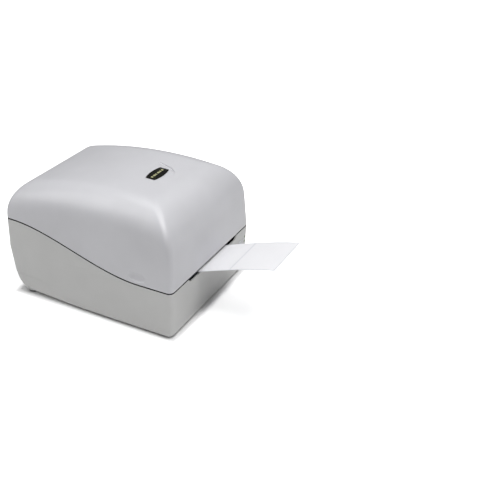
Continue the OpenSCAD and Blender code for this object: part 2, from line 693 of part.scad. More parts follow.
module serial_socket() color("silver") d_socket(serial_box);
module parallel_socket() color("silver") d_socket(parallel_box);
module power_inlet() color("#222222") {
    cx = inlet_box[0] + inlet_box[1] / 2;
    difference() {
        socket_block(inlet_box);
        stadium(cx, io_top + 5.5, 0.01, 3.2, port_face - 10, rear);
    }
    translate([cx, port_face - 1, io_top + 5.5]) rotate([90, 0, 0]) cylinder(h = 10, r = 1.2);
}
module port_plate() color("lightgray") difference() {
    box(port_x[0] - 4, port_x[1] + 2, rear - 6.8, rear - 5.8, io_z - 1.5, io_z + 22);
    for (b = [usb_box, serial_box, parallel_box, inlet_box])
        box(b[0] - 0.2, right(b) + 0.2, rear - 10, rear, io_z - 2, io_top + b[2] + 0.2);
    box(2 - io_half, io_half + 0.2, rear - 10, rear - 6.3, io_z - 2, io_top + 0.2);
    box(switch_box[0] - 0.2, right(switch_box) + 0.2, rear - 10, rear, switch_z - 0.2,
        switch_z + switch_box[2] + 0.2);
}
switch_c = [port_face - 3, switch_z + switch_box[2] / 2];
module switch_body() color("#222222") difference() {
    union() {
        box(switch_box[0], right(switch_box), rear - 22, port_face, switch_z, switch_z + switch_box[2]);
        box(switch_box[0] - 1, right(switch_box) + 1, rear - 5.8, rear - 4.8, switch_z - 1,
            switch_z + switch_box[2] + 1);
    }
    box(switch_box[0] + 1.5, right(switch_box) - 1.5, rear - 15, rear, switch_c.y - 6.7, switch_c.y + 6.7);
    bar(switch_c, 1 + fit, switch_box[0] + 0.5, right(switch_box) - 0.5);
}
rocker_tilt = 8;
module power_rocker() color("black") {
    across(switch_box[0] + 1.9, right(switch_box) - 1.9) translate(switch_c) rotate(-rocker_tilt)
        polygon([[-4, -5.6], [2.2, -6.1], [1.2, 0], [2.2, 6.1], [-4, 5.6]]);
    bar(switch_c, 1, switch_box[0] + 0.7, right(switch_box) - 0.7);
}

// ---- Front panel ----
face_y = front_y(button_at.y);
module feed_button() color("whitesmoke") {
    stadium(button_at.x, button_at.y, 4, 4, face_y - 1.2, face_y + 4.6);
    stadium(button_at.x, button_at.y, 4, 5.5, face_y + 3, face_y + 4.6);
    stadium(button_at.x, button_at.y, 0.01, 2, face_y + 4, panel_y - 2.3);
}
module button_spring() color("silver") translate([button_at.x, panel_y, button_at.y])
    rotate([90, 0, 0]) difference() {
        cylinder(h = panel_y - face_y - 6, r = 3.2);
        translate([0, 0, -1]) cylinder(h = 20, r = 2.4);
    }
module panel_board() color("darkgreen") difference() {
    union() {
        box(half - 33, half - 6, panel_y, panel_y + board_t, 44, 66);
        box(button_at.x - 1.8, button_at.x + 1.8, panel_y - 0.8, panel_y, button_at.y - 1.4,
            button_at.y + 1.4);
    }
    for (p = panel_posts) stadium(p.x, p.y, 0.01, 1.6, panel_y - 1, panel_y + 5);
}
module status_lenses() color("#3f8f3f")
    for (p = lens_at) stadium(p.x, p.y, 0.01, 1.6, front_y(p.y) - 0.2, panel_y);

// ---- Hinge ----
module knuckle(x, arm) difference() {
    union() {
        bar(hinge_at, knuckle_r, x - knuckle_w / 2, x + knuckle_w / 2);
        across(x - knuckle_w / 2, x + knuckle_w / 2) polygon(arm);
    }
    bar(hinge_at, pin_r + fit, -half, half);
}
hinge_step = knuckle_w + knuckle_gap;
bracket_z = deck_at(tray_rear);
module hinge_brackets() color("gray") both() difference() {
    union() {
        for (s = [-1, 1]) knuckle(hinge_x + s * hinge_step, [
            [rear - 22, bracket_z], [rear - 22, bracket_z + 2.2], [rear - 10, bracket_z + 2.2],
            [rear - 7, hinge_at.y], hinge_at, hinge_at - [1, 2.8], [rear - 5, bracket_z + 2],
            [rear - 6.5, bracket_z]
        ]);
        box(hinge_x - knuckle_span, hinge_x + knuckle_span, rear - 22, rear - 11, bracket_z,
            bracket_z + 2.2);
    }
}
module hinge_pins() color("silver")
    both() bar(hinge_at, pin_r, hinge_x - knuckle_span, hinge_x + knuckle_span);

// ---- Lid mechanism ----
beam_z = split_low + 20;
pad_z = body_h - 17;
pad_half = half - lid_lean - side_round - 2;
top_pad = [[crown_y - 9, crown_y + 9], [supply_at.x + 31, supply_at.x + 39]];
module frame_side() difference() {
    polygon([
        [front + 12, split_low + 3], [front + 12, beam_z + 30], [front + 32, takeup_at.y + 10],
        [front + 54, pad_z - 4], [supply_at.x + 5, pad_z + 4], [supply_at.x + 39, pad_z + 4],
        [supply_at.x + 39, supply_at.y + 12], [roll_at.x - 15, supply_at.y + 2],
        [rear - 44, hinge_at.y + 17.7], [rear - 8, hinge_at.y + 11.7], [rear - 8, hinge_at.y + 3],
        [rear - 44, hinge_at.y + 6.7], [roll_at.x - 5, hinge_at.y + 10.7],
        [roll_at.x - 37, hinge_at.y + 11.7], [roll_at.x - 47, hinge_at.y - 0.3],
        [supply_at.x - 5, beam_z + 10], [front + 84, beam_z], [front + 54, split_low + 12],
        [front + 40, split_low + 3]
    ]);
    translate(supply_at) circle(4 + fit);
    translate(takeup_at) circle(4 + fit);
}
module lid_frame() color("#4a4d50") difference() {
    union() {
        both() across(frame_in, frame_in + frame_t) frame_side();
        box(-frame_in - 1, frame_in + 1, front + 6, front + 12 + eps, beam_z, beam_z + 12);
        both() box(frame_in, frame_in + frame_t, front + 6, front + 13, beam_z, beam_z + 12);
        box(-frame_in - 1, frame_in + 1, platen_at.x + 3, platen_at.x + 20, beam_z, beam_z + 8);
        for (p = top_pad) {
            box(-frame_in - frame_t, frame_in + frame_t, p[0], p[1], pad_z, pad_z + 4);
            box(-pad_half, pad_half, p[0], p[1], pad_z,
                min(crown_z(p[0], wall), crown_z(p[1], wall)) - 0.05);
        }
        box(-hinge_x - 16, hinge_x + 16, rear - 22, rear - 8, hinge_at.y + 3, hinge_at.y + 10);
        both() knuckle(hinge_x, [
            hinge_at + [0, 0.2], hinge_at + [-1, 2.8], [rear - 8, hinge_at.y + 8],
            [rear - 14, hinge_at.y + 8], [rear - 14, hinge_at.y + 3], [rear - 8, hinge_at.y + 0.5]
        ]);
    }
    both() for (p = top_pad) translate([30, (p[0] + p[1]) / 2, pad_z - 8])
        cylinder(h = 40, r = 1.6);
}
module lid_screws() color("silver") both() for (p = top_pad)
    translate([30, (p[0] + p[1]) / 2, pad_z]) rotate([180, 0, 0])
        screw(min(crown_z(p[0], wall), crown_z(p[1], wall)) - pad_z - 0.05);
head_t = 1.2;
module print_head() color("ivory") box(-frame_in + 4, frame_in - 4, platen_at.x - 6,
    platen_at.x + 8, head_z, head_z + head_t);
module head_mount() color("silver") {
    box(-frame_in + 4, frame_in - 4, platen_at.x - 6, platen_at.x + 12, head_z + head_t, head_z + 5);
    for (k = [0 : 4]) box(-frame_in + 4, frame_in - 4, platen_at.x - 5 + 4 * k,
        platen_at.x - 4 + 4 * k, head_z + 4, head_z + 12);
    both() translate([44, platen_at.x + 9.5, head_z + 4])
        cylinder(h = beam_z - head_z - 4, r = 2.4);
}
module head_springs() color("silver") both() translate([22, platen_at.x + 9.5, head_z + 12])
    difference() {
        cylinder(h = beam_z - head_z - 12, r = 4);
        translate([0, 0, -1]) cylinder(h = 30, r = 3.2);
    }
module hub(at) {
    bar(at, hub_r, -frame_in + 4, frame_in - 4);
    bar(at, 4, -frame_in - frame_t, frame_in + frame_t);
}
module supply_hub() color("whitesmoke") hub(supply_at);
module takeup_hub() color("whitesmoke") hub(takeup_at);
module supply_ribbon() color("#17171c")
    tube(supply_at, hub_r, supply_r, -ribbon_w / 2, ribbon_w / 2, $fn = 96);
module takeup_ribbon() color("#17171c")
    tube(takeup_at, hub_r, takeup_r, -ribbon_w / 2, ribbon_w / 2, $fn = 96);

// Ribbon film from the supply under the head to the take-up, outer face listed.
film_t = 0.15;
film_in = platen_at.x + 20;
film_out = platen_at.x - 12;
function leave(c, r, p, side) =
    let (d = p - c, a = atan2(d.y, d.x) + side * acos(r / norm(d))) c + r * [cos(a), sin(a)];
function seg_n(a, b) = let (d = b - a) [-d.y, d.x] / norm(d);
function joint_n(p, i) = i == 0 ? seg_n(p[0], p[1])
    : i == len(p) - 1 ? seg_n(p[i - 1], p[i])
    : let (n = seg_n(p[i - 1], p[i]) + seg_n(p[i], p[i + 1])) n / norm(n);
film_path = [
    leave(supply_at, supply_r + slide, [film_in, head_z + 6], 1),
    [film_in, head_z + 6], [platen_at.x + 12.8, head_z - 0.25], [platen_at.x - 6.5, head_z - 0.25],
    [film_out, head_z + 7], leave(takeup_at, takeup_r + slide, [film_out, head_z + 7], -1)
];
module ribbon_film() color("#17171c") across(-ribbon_w / 2, ribbon_w / 2) polygon(concat(
    film_path,
    [for (i = [len(film_path) - 1 : -1 : 0]) film_path[i] - film_t * joint_n(film_path, i)]));

// ---- Badge: a plate with bowed long edges and a row of raised bars ----
badge_w = 38;
badge_d = 21;
badge_end = 15;
badge_y = -56;
badge_t = 0.8;
badge_bow = (badge_d - badge_end) / 2;
badge_r = (pow(badge_w / 2, 2) + pow(badge_bow, 2)) / (2 * badge_bow);
module on_crown(y) translate([0, y, crown_z(y) + 0.08])
    rotate([atan2(crown_y - y, crown_r), 0, 0]) children();
module badge() color("#23241a") on_crown(badge_y) linear_extrude(badge_t)
    intersection_for(s = [-1, 1]) intersection() {
        square([badge_w, badge_d], center = true);
        translate([0, s * (badge_r - badge_d / 2)]) circle(badge_r, $fn = 240);
    }
bar_widths = [3.2, 4.2, 2.6, 3.8, 3, 3.4];
bar_pitch = 5.2;
module badge_marks() color("khaki") on_crown(badge_y) for (i = [0 : 5])
    translate([-15 + bar_pitch * i, -1.7, badge_t]) cube([bar_widths[i], 3.4, 0.15]);

base_shell();
lid_shell();
media_tray();
chassis();
platen_bushes();
platen_shaft();
platen_rubber();
platen_gear();
idler_gear();
idler_post();
motor_body();
motor_shaft();
motor_pinion();
tear_bar();
roll_cradles();
roll_spindle();
roll_flanges();
roll_core();
label_roll();
label_liner();
labels();
guide_left();
guide_right();
guide_pinion();
sensor_rail();
sensor_carriage();
main_board();
board_parts();
io_board();
usb_socket();
serial_socket();
parallel_socket();
power_inlet();
port_plate();
switch_body();
power_rocker();
feed_button();
button_spring();
panel_board();
status_lenses();
rubber_feet();
tray_screws();
board_screws();
chassis_screws();
motor_screws();
hinge_brackets();
hinge_pins();
lid_frame();
lid_screws();
head_mount();
print_head();
head_springs();
supply_hub();
supply_ribbon();
takeup_hub();
takeup_ribbon();
ribbon_film();
badge();
badge_marks();
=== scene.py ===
"""Looks of a desktop thermal label printer: case shells, label web, badge, fasteners and studio."""

import json
import math

import bmesh
import bpy
from mathutils import Matrix, Vector
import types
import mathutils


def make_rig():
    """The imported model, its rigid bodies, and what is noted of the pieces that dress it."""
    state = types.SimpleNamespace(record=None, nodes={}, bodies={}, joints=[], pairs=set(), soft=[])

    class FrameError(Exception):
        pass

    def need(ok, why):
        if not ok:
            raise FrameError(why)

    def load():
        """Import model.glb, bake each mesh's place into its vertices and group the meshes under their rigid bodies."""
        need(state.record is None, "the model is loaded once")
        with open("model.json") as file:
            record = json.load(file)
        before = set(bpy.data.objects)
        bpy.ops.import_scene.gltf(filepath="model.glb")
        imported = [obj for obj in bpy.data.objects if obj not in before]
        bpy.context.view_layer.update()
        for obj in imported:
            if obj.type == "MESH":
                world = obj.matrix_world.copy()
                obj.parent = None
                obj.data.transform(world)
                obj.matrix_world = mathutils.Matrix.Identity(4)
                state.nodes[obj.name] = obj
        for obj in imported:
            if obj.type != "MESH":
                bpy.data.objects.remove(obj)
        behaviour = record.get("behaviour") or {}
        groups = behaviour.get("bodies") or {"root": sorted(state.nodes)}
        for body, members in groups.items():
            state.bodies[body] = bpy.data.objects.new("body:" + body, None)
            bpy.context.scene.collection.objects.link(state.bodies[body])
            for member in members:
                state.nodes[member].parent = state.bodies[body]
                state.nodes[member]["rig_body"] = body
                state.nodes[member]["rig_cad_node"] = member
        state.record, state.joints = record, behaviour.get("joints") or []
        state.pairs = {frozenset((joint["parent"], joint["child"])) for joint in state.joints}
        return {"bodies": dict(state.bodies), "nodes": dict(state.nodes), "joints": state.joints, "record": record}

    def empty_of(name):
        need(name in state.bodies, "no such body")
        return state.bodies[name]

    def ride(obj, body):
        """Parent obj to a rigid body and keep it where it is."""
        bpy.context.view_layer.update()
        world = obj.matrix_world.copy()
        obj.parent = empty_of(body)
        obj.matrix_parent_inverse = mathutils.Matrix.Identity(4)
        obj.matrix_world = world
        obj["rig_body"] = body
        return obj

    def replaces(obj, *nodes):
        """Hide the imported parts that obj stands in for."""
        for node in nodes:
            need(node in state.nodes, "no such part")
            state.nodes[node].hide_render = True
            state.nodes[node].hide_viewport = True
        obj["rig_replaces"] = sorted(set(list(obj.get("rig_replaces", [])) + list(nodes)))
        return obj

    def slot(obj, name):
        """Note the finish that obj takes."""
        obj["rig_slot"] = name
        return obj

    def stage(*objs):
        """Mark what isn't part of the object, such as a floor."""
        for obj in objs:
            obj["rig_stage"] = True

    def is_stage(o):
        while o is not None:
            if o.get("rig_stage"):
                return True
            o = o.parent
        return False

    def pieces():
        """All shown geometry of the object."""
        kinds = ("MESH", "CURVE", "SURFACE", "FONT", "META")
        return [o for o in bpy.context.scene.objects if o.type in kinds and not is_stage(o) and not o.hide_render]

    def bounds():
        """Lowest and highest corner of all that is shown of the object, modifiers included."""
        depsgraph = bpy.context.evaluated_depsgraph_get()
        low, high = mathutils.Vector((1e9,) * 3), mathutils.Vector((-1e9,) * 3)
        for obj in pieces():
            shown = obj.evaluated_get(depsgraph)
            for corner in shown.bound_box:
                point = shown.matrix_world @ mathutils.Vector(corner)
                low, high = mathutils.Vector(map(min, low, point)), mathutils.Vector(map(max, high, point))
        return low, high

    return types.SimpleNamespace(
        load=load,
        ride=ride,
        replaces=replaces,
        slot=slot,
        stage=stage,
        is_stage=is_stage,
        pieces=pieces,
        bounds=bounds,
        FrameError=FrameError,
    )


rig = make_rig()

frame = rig.load()
cad_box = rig.bounds()
MM = 0.001

# ---- Case outline, in mm: the forms of the CAD solids, drawn with finer steps ----
# Three sizes differ from the solids. Their SPLIT_GAP is 1 and their TAIL_ROUND is 26, and the round
# under their side walls keeps SOLE_ROUND all the way instead of growing to SOLE_REAR.
HALF, FRONT, REAR, TOP = 113.0, -144.0, 144.0, 195.0
WALL, FLOOR_T, FOOT = 2.5, 3.0, 3.0
SPLIT_LOW, SPLIT_RISE, SPLIT_START, SPLIT_RUN, SPLIT_GAP = 80.0, 46.0, -92.0, 227.0, 1.7
CROWN_R, CROWN_Y = 630.0, -36.0
FRONT_ROUND, REAR_ROUND, SIDE_ROUND, CORNER_R = 60.0, 41.0, 41.0, 8.0
TAIL_ROUND, SOLE_ROUND, SOLE_REAR = 32.0, 4.0, 13.0
LID_LEAN, BROW_LEAN, BASE_TAPER, CHIN_TAPER, TAIL_TAPER = 10.3, 1.1, 1.5, 6.0, 4.4
RIM_ROUND = 0.35
# Rings and points of the outer and inner skins and the ribs, steps of the rim's round, halvings of a search
ARCS, WALLS, SOLES, CORNERS, SIDES = 40, 34, 16, 12, 130
LID_INNER_ARCS, LID_INNER_WALLS, BASE_INNER_WALLS, BASE_INNER_SOLES = 10, 2, 3, 8
RIB_ARCS, RIB_WALLS, RIM_STEPS, HALVINGS = 24, 6, 3, 30

CROWN_C = TOP - CROWN_R
FRONT_TOP = FRONT + BROW_LEAN
FRONT_CY = FRONT_TOP + FRONT_ROUND
FRONT_CZ = CROWN_C + math.sqrt((CROWN_R - FRONT_ROUND) ** 2 - (FRONT_CY - CROWN_Y) ** 2)
REAR_CY = REAR - REAR_ROUND
REAR_CZ = CROWN_C + math.sqrt((CROWN_R - REAR_ROUND) ** 2 - (REAR_CY - CROWN_Y) ** 2)
BROW_DROP = CROWN_C + math.sqrt(CROWN_R ** 2 - (FRONT_TOP - CROWN_Y) ** 2) - FRONT_CZ
TAIL_SCALE = (SIDE_ROUND + 1) / BROW_DROP


def mix(a, b, t):
    return a + (b - a) * t


def clamp01(t):
    return min(1.0, max(0.0, t))


def smooth(t):
    t = clamp01(t)
    return t * t * (3 - 2 * t)


def split_z(y):
    """Height of the parting line."""
    return SPLIT_LOW + SPLIT_RISE * smooth((y - SPLIT_START) / SPLIT_RUN)


def crown_z(y, t=0.0):
    """Height of the lid's crown, set in by t."""
    return CROWN_C + math.sqrt((CROWN_R - t) ** 2 - (y - CROWN_Y) ** 2)


def low(z):
    """1 at the floor of the base, 0 from the front of the parting line upwards."""
    return clamp01((SPLIT_LOW - z) / (SPLIT_LOW - FOOT))


def high(z):
    """0 up to the front of the parting line, 1 at the crown."""
    return max(0.0, z - SPLIT_LOW) / (TOP - SPLIT_LOW)


def quarter(r, d):
    """How far out a quarter round of radius r has come, d below its top."""
    return r if d >= r else math.sqrt(max(0.0, r * r - (r - d) ** 2))


def round_in(r, z):
    """How far a lower edge of radius r draws the wall in at height z."""
    return r - quarter(r, z - FOOT)


def half_w(z):
    return HALF - BASE_TAPER * low(z) - LID_LEAN * high(z)


def front_y(z):
    return FRONT + CHIN_TAPER * low(z) + BROW_LEAN * clamp01((z - SPLIT_LOW) / (FRONT_CZ - SPLIT_LOW))


def rear_y(z):
    return REAR - TAIL_TAPER * low(z)


def sole_round(y):
    """Radius of the round under the side walls; it grows towards the rear feet."""
    return mix(SOLE_ROUND, SOLE_REAR, smooth(y / REAR))


def edge_y(drop, r, cy, cz, way, t):
    """Where the front (way -1) or rear (way 1) edge round lies `drop` below the crown."""
    a, b = 0.0, 1.0
    for _ in range(HALVINGS):
        m = (a + b) / 2
        y = cy + way * (r - t) * m
        gap = crown_z(y, t) - cz - math.sqrt(max(0.0, (r - t) ** 2 - (y - cy) ** 2))
        a, b = (m, b) if gap < drop else (a, m)
    return cy + way * (r - t) * (a + b) / 2


def drop_scale(y):
    """How far the edge rounds reach down from the crown at y, as a share of their reach at the front."""
    return mix(1.0, TAIL_SCALE, clamp01((y - FRONT_CY) / (REAR_CY - FRONT_CY)))


def half_ring(yf, yr, r, wide, tall):
    """The right half of a ring from front yf to rear yr; wide(y) and tall(y) give its x and z."""
    points = []
    for i in range(CORNERS + 1):
        a = math.pi / 2 * i / CORNERS
        y = yf + r - r * math.cos(a)
        points.append((wide(yf + r) - r + r * math.sin(a), y, tall(y)))
    for i in range(1, SIDES):
        y = mix(yf + r, yr - r, i / SIDES)
        points.append((wide(y), y, tall(y)))
    for i in range(CORNERS + 1):
        a = math.pi / 2 * i / CORNERS
        y = yr - r + r * math.sin(a)
        points.append((wide(yr - r) - r + r * math.cos(a), y, tall(y)))
    return points


def full_ring(half):
    """A closed ring from its right half, mirrored across X."""
    return half + [(-x, y, z) for x, y, z in reversed(half)]


def lid_rings(t, rim, arcs, walls):
    """Rings of the lid's skin, set in by t, from the crown down to its rim."""
    rings = []
    for k in range(arcs + 1):
        d = (BROW_DROP - t) * (1 - math.cos(math.pi / 2 * k / arcs))
        yf = FRONT_TOP + t if k == arcs else edge_y(d, FRONT_ROUND, FRONT_CY, FRONT_CZ, -1, t)
        yr = edge_y(d * TAIL_SCALE, REAR_ROUND, REAR_CY, REAR_CZ, 1, t)

        def tall(y, d=d):
            return crown_z(y, t) - d * drop_scale(y)

        def wide(y, d=d, tall=tall):
            return half_w(tall(y)) - SIDE_ROUND + quarter(SIDE_ROUND - t, d * drop_scale(y))
        rings.append(full_ring(half_ring(yf, yr, CORNER_R - t, wide, tall)))
    for k in range(1, walls + 1):
        s = k / walls

        def tall(y, s=s):
            return mix(crown_z(y, t) - (BROW_DROP - t) * drop_scale(y), split_z(y) + rim, s)

        def wide(y, tall=tall):
            return half_w(tall(y)) - t
        rings.append(full_ring(half_ring(front_y(tall(FRONT)) + t, REAR - t, CORNER_R - t, wide, tall)))
    return rings


def base_ring(height, t):
    """One ring of the base's skin, set in by t, at the height that height(y) gives."""
    zf, zr = height(FRONT), height(REAR)

    def wide(y):
        return half_w(height(y)) - t - round_in(sole_round(y), height(y))
    return full_ring(half_ring(front_y(zf) + t + round_in(SOLE_ROUND, zf),
                               rear_y(zr) - t - round_in(TAIL_ROUND, zr),
                               CORNER_R - t, wide, height))


def base_rings(t, bottom, rim):
    """Rings of the base's skin, set in by t, from `rim` above the parting line down to bottom."""
    knee = FOOT + TAIL_ROUND
    rings = [base_ring(lambda y, s=k / BASE_INNER_WALLS: mix(split_z(y) + rim, knee, s), t)
             for k in range(BASE_INNER_WALLS)]
    for k in range(BASE_INNER_SOLES, -1, -1):
        z = mix(bottom, knee, 1 - math.cos(math.pi / 2 * k / BASE_INNER_SOLES))
        rings.append(base_ring(lambda y, z=z: z, t))
    return rings


def rim_rings(ring, way):
    """Rounds the edge of a wall whose outer ring ends RIM_ROUND short of the rim."""
    n = len(ring)
    rings = []
    for k in range(1, RIM_STEPS + 1):
        a = math.pi / 2 * k / RIM_STEPS
        inset = RIM_ROUND * (1 - math.cos(a))
        reach = RIM_ROUND * math.sin(a)
        new = []
        for i, (x, y, z) in enumerate(ring):
            nx, ny = outward(ring, i, n)
            new.append((x - nx * inset, y - ny * inset, z + way * reach))
        rings.append(new)
    return rings


def outward(ring, i, n):
    """Outward direction in plan of a ring of n points at its point i."""
    ax, ay = ring[(i - 1) % n][:2]
    bx, by = ring[(i + 1) % n][:2]
    dx, dy = bx - ax, by - ay
    size = math.hypot(dx, dy) or 1.0
    return dy / size, -dx / size


def new_object(name, data):
    """A new object in the scene, around a mesh, a lamp or a camera."""
    obj = bpy.data.objects.new(name, data)
    bpy.context.scene.collection.objects.link(obj)
    return obj


def mesh_object(name, verts, faces, scale=MM):
    mesh = bpy.data.meshes.new(name)
    mesh.from_pydata([tuple(c * scale for c in v) for v in verts], [], faces)
    mesh.update()
    return new_object(name, mesh)


def modified(obj):
    """The plain mesh that an object's modifiers make."""
    bpy.context.view_layer.update()
    graph = bpy.context.evaluated_depsgraph_get()
    return bpy.data.meshes.new_from_object(obj.evaluated_get(graph))


def dress(mesh, *mats):
    """Gives a mesh these materials and no others."""
    mesh.materials.clear()
    for mat in mats:
        mesh.materials.append(mat)


def band(a, b, n):
    """The faces between two rings of n vertices, which start at vertex a and at vertex b."""
    return [(a + i, b + i, b + (i + 1) % n, a + (i + 1) % n) for i in range(n)]


def skin(rings):
    """Vertices and faces of a closed skin through rings; both ends are capped across X."""
    n, last = len(rings[0]), len(rings) - 1
    verts = [p for ring in rings for p in ring]
    faces = []
    for k in range(last):
        faces += band(k * n, (k + 1) * n, n)
    for k, flip in ((0, False), (last, True)):
        for i in range(n // 2 - 1):
            quad = (k * n + i, k * n + i + 1, k * n + n - 2 - i, k * n + n - 1 - i)
            faces.append(quad[::-1] if flip else quad)
    return verts, faces


def face_outward(obj):
    """Turns every face of a closed mesh outwards."""
    bm = bmesh.new()
    bm.from_mesh(obj.data)
    bmesh.ops.recalc_face_normals(bm, faces=bm.faces)
    bm.to_mesh(obj.data)
    bm.free()


def smooth_shade(obj, angle):
    """Shades a mesh smooth, apart from edges sharper than angle in degrees."""
    bm = bmesh.new()
    bm.from_mesh(obj.data)
    limit = math.radians(angle)
    for face in bm.faces:
        face.smooth = True
    for edge in bm.edges:
        edge.smooth = not (edge.is_manifold and edge.calc_face_angle(0) > limit)
    bm.to_mesh(obj.data)
    bm.free()


# ---- Materials: grain scales per metre, bump distances in metres ----
GRAIN, CLOUD = 1600, 9


def material(name, color, rough, metallic=0.0):
    mat = bpy.data.materials.new(name)
    mat.use_nodes = True
    shader = mat.node_tree.nodes["Principled BSDF"]
    shader.inputs["Base Color"].default_value = (*color, 1)
    shader.inputs["Roughness"].default_value = rough
    shader.inputs["Metallic"].default_value = metallic
    return mat, mat.node_tree, shader


def calc(tree, kind, *values, family="ShaderNodeMath"):
    """Outputs of a math node; each of its values is a number, a vector or another node's output."""
    node = tree.nodes.new(family)
    node.operation = kind
    for socket, value in zip(node.inputs, values):
        if isinstance(value, bpy.types.NodeSocket):
            tree.links.new(value, socket)
        else:
            socket.default_value = value
    return node.outputs


def object_coords(tree):
    return tree.nodes.new("ShaderNodeTexCoord").outputs["Object"]


def add_noise(tree, scale, detail=3.0, rough=0.6, stretch=(1, 1, 1)):
    mapping = tree.nodes.new("ShaderNodeMapping")
    mapping.inputs["Scale"].default_value = stretch
    noise = tree.nodes.new("ShaderNodeTexNoise")
    noise.inputs["Scale"].default_value = scale
    noise.inputs["Detail"].default_value = detail
    noise.inputs["Roughness"].default_value = rough
    tree.links.new(object_coords(tree), mapping.inputs["Vector"])
    tree.links.new(mapping.outputs["Vector"], noise.inputs["Vector"])
    return noise


def add_bump(tree, shader, height, strength, distance):
    bump = tree.nodes.new("ShaderNodeBump")
    bump.inputs["Strength"].default_value = strength
    bump.inputs["Distance"].default_value = distance
    tree.links.new(height, bump.inputs["Height"])
    tree.links.new(bump.outputs["Normal"], shader.inputs["Normal"])


def add_range(tree, value, lo, hi, start=0, end=1, curve="LINEAR"):
    """The output that goes from lo to hi while value goes from start to end."""
    span = tree.nodes.new("ShaderNodeMapRange")
    span.interpolation_type = curve
    for name, number in (("From Min", start), ("From Max", end), ("To Min", lo), ("To Max", hi)):
        span.inputs[name].default_value = number
    tree.links.new(value, span.inputs["Value"])
    return span.outputs["Result"]


def add_ramp(tree, shader, value, stops):
    """Colours the shader by value, through stops of (place, colour)."""
    ramp = tree.nodes.new("ShaderNodeValToRGB")
    ramp.color_ramp.elements[0].position, ramp.color_ramp.elements[-1].position = 0, 1
    for i, (place, color) in enumerate(stops):
        if i < 2:
            element = ramp.color_ramp.elements[i]
            element.position = place
        else:
            element = ramp.color_ramp.elements.new(place)
        element.color = (*color, 1)
    tree.links.new(value, ramp.inputs["Fac"])
    tree.links.new(ramp.outputs["Color"], shader.inputs["Base Color"])


def plastic(name, color, rough=0.42, grain=0.00006, tint=0.03, coat=0.0):
    """Moulded plastic: fine spark-eroded grain, and a faint cloud in colour and gloss."""
    mat, tree, shader = material(name, color, rough)
    fine = add_noise(tree, GRAIN, 2)
    cloud = add_noise(tree, CLOUD, 3)
    dark = tuple(c * (1 - tint) for c in color)
    bright = tuple(min(1, c * (1 + tint)) for c in color)
    add_ramp(tree, shader, cloud.outputs["Fac"], [(0.35, dark), (0.65, bright)])
    gloss = add_range(tree, fine.outputs["Fac"], rough - 0.04, rough + 0.06)
    tree.links.new(gloss, shader.inputs["Roughness"])
    add_bump(tree, shader, fine.outputs["Fac"], 0.35, grain)
    shader.inputs["Coat Weight"].default_value = coat
    shader.inputs["Coat Roughness"].default_value = 0.2
    return mat


def metal(name, color, rough=0.3, along=(1, 30, 30), scale=60):
    """Drawn or rolled metal with fine scratches along one axis."""
    mat, tree, shader = material(name, color, rough, 1.0)
    brushed = add_noise(tree, scale, 4, 0.7, along)
    gloss = add_range(tree, brushed.outputs["Fac"], max(0.05, rough - 0.1), rough + 0.15)
    tree.links.new(gloss, shader.inputs["Roughness"])
    add_bump(tree, shader, brushed.outputs["Fac"], 0.2, 0.00004)
    return mat


def cardboard():
    """Grey-brown board of a roll core, with short fibres."""
    mat, tree, shader = material("core_board", (0.42, 0.28, 0.16), 0.85)
    fibre = add_noise(tree, 240, 5, 0.7, (0.3, 1, 1))
    add_ramp(tree, shader, fibre.outputs["Fac"], [(0.3, (0.33, 0.21, 0.12)), (0.7, (0.5, 0.35, 0.21))])
    add_bump(tree, shader, fibre.outputs["Fac"], 0.5, 0.0001)
    return mat


def paper(name, color, rough):
    """Coated paper: almost even, with faint fibres and a faint cloud in its colour."""
    mat, tree, shader = material(name, color, rough)
    fibre = add_noise(tree, 420, 6, 0.75)
    cloud = add_noise(tree, 26, 3)
    blend = calc(tree, "MULTIPLY_ADD", fibre.outputs["Fac"], 0.35, cloud.outputs["Fac"])[0]
    add_ramp(tree, shader, blend, [(0.4, tuple(c * 0.965 for c in color)), (0.95, color)])
    add_bump(tree, shader, fibre.outputs["Fac"], 0.25, 0.00003)
    return mat


def board():
    """Solder mask with copper tracks running under it, raised a little in its bump."""
    mat, tree, shader = material("solder_mask", (0.02, 0.12, 0.05), 0.35)
    tracks = tree.nodes.new("ShaderNodeTexBrick")
    tracks.inputs["Scale"].default_value = 150
    tracks.inputs["Color1"].default_value = (0.012, 0.085, 0.035, 1)
    tracks.inputs["Color2"].default_value = (0.018, 0.12, 0.05, 1)
    tracks.inputs["Mortar"].default_value = (0.03, 0.2, 0.08, 1)
    tracks.inputs["Mortar Size"].default_value = 0.06
    tracks.inputs["Row Height"].default_value = 0.3
    tracks.inputs["Brick Width"].default_value = 1.7
    tree.links.new(object_coords(tree), tracks.inputs["Vector"])
    tree.links.new(tracks.outputs["Color"], shader.inputs["Base Color"])
    add_bump(tree, shader, tracks.outputs["Fac"], 0.2, 0.00003)
    return mat


def wound(name, light, dark, rough, pitch, centre):
    """A wound roll: fine turns on its end faces, ring by ring about its own axis."""
    mat, tree, shader = material(name, light, rough)
    axis = (0, centre[0] * MM, centre[1] * MM)
    place = calc(tree, "SUBTRACT", object_coords(tree), axis, family="ShaderNodeVectorMath")[0]
    flat = calc(tree, "MULTIPLY", place, (0, 1, 1), family="ShaderNodeVectorMath")[0]
    far = calc(tree, "LENGTH", flat, family="ShaderNodeVectorMath")["Value"]
    turns = tree.nodes.new("ShaderNodeTexNoise")
    turns.noise_dimensions = "1D"
    turns.inputs["Scale"].default_value = 1000 / pitch
    turns.inputs["Detail"].default_value = 2
    tree.links.new(far, turns.inputs["W"])
    add_ramp(tree, shader, turns.outputs["Fac"], [(0.35, dark), (0.6, light)])
    add_bump(tree, shader, turns.outputs["Fac"], 0.3, 0.0001)
    return mat


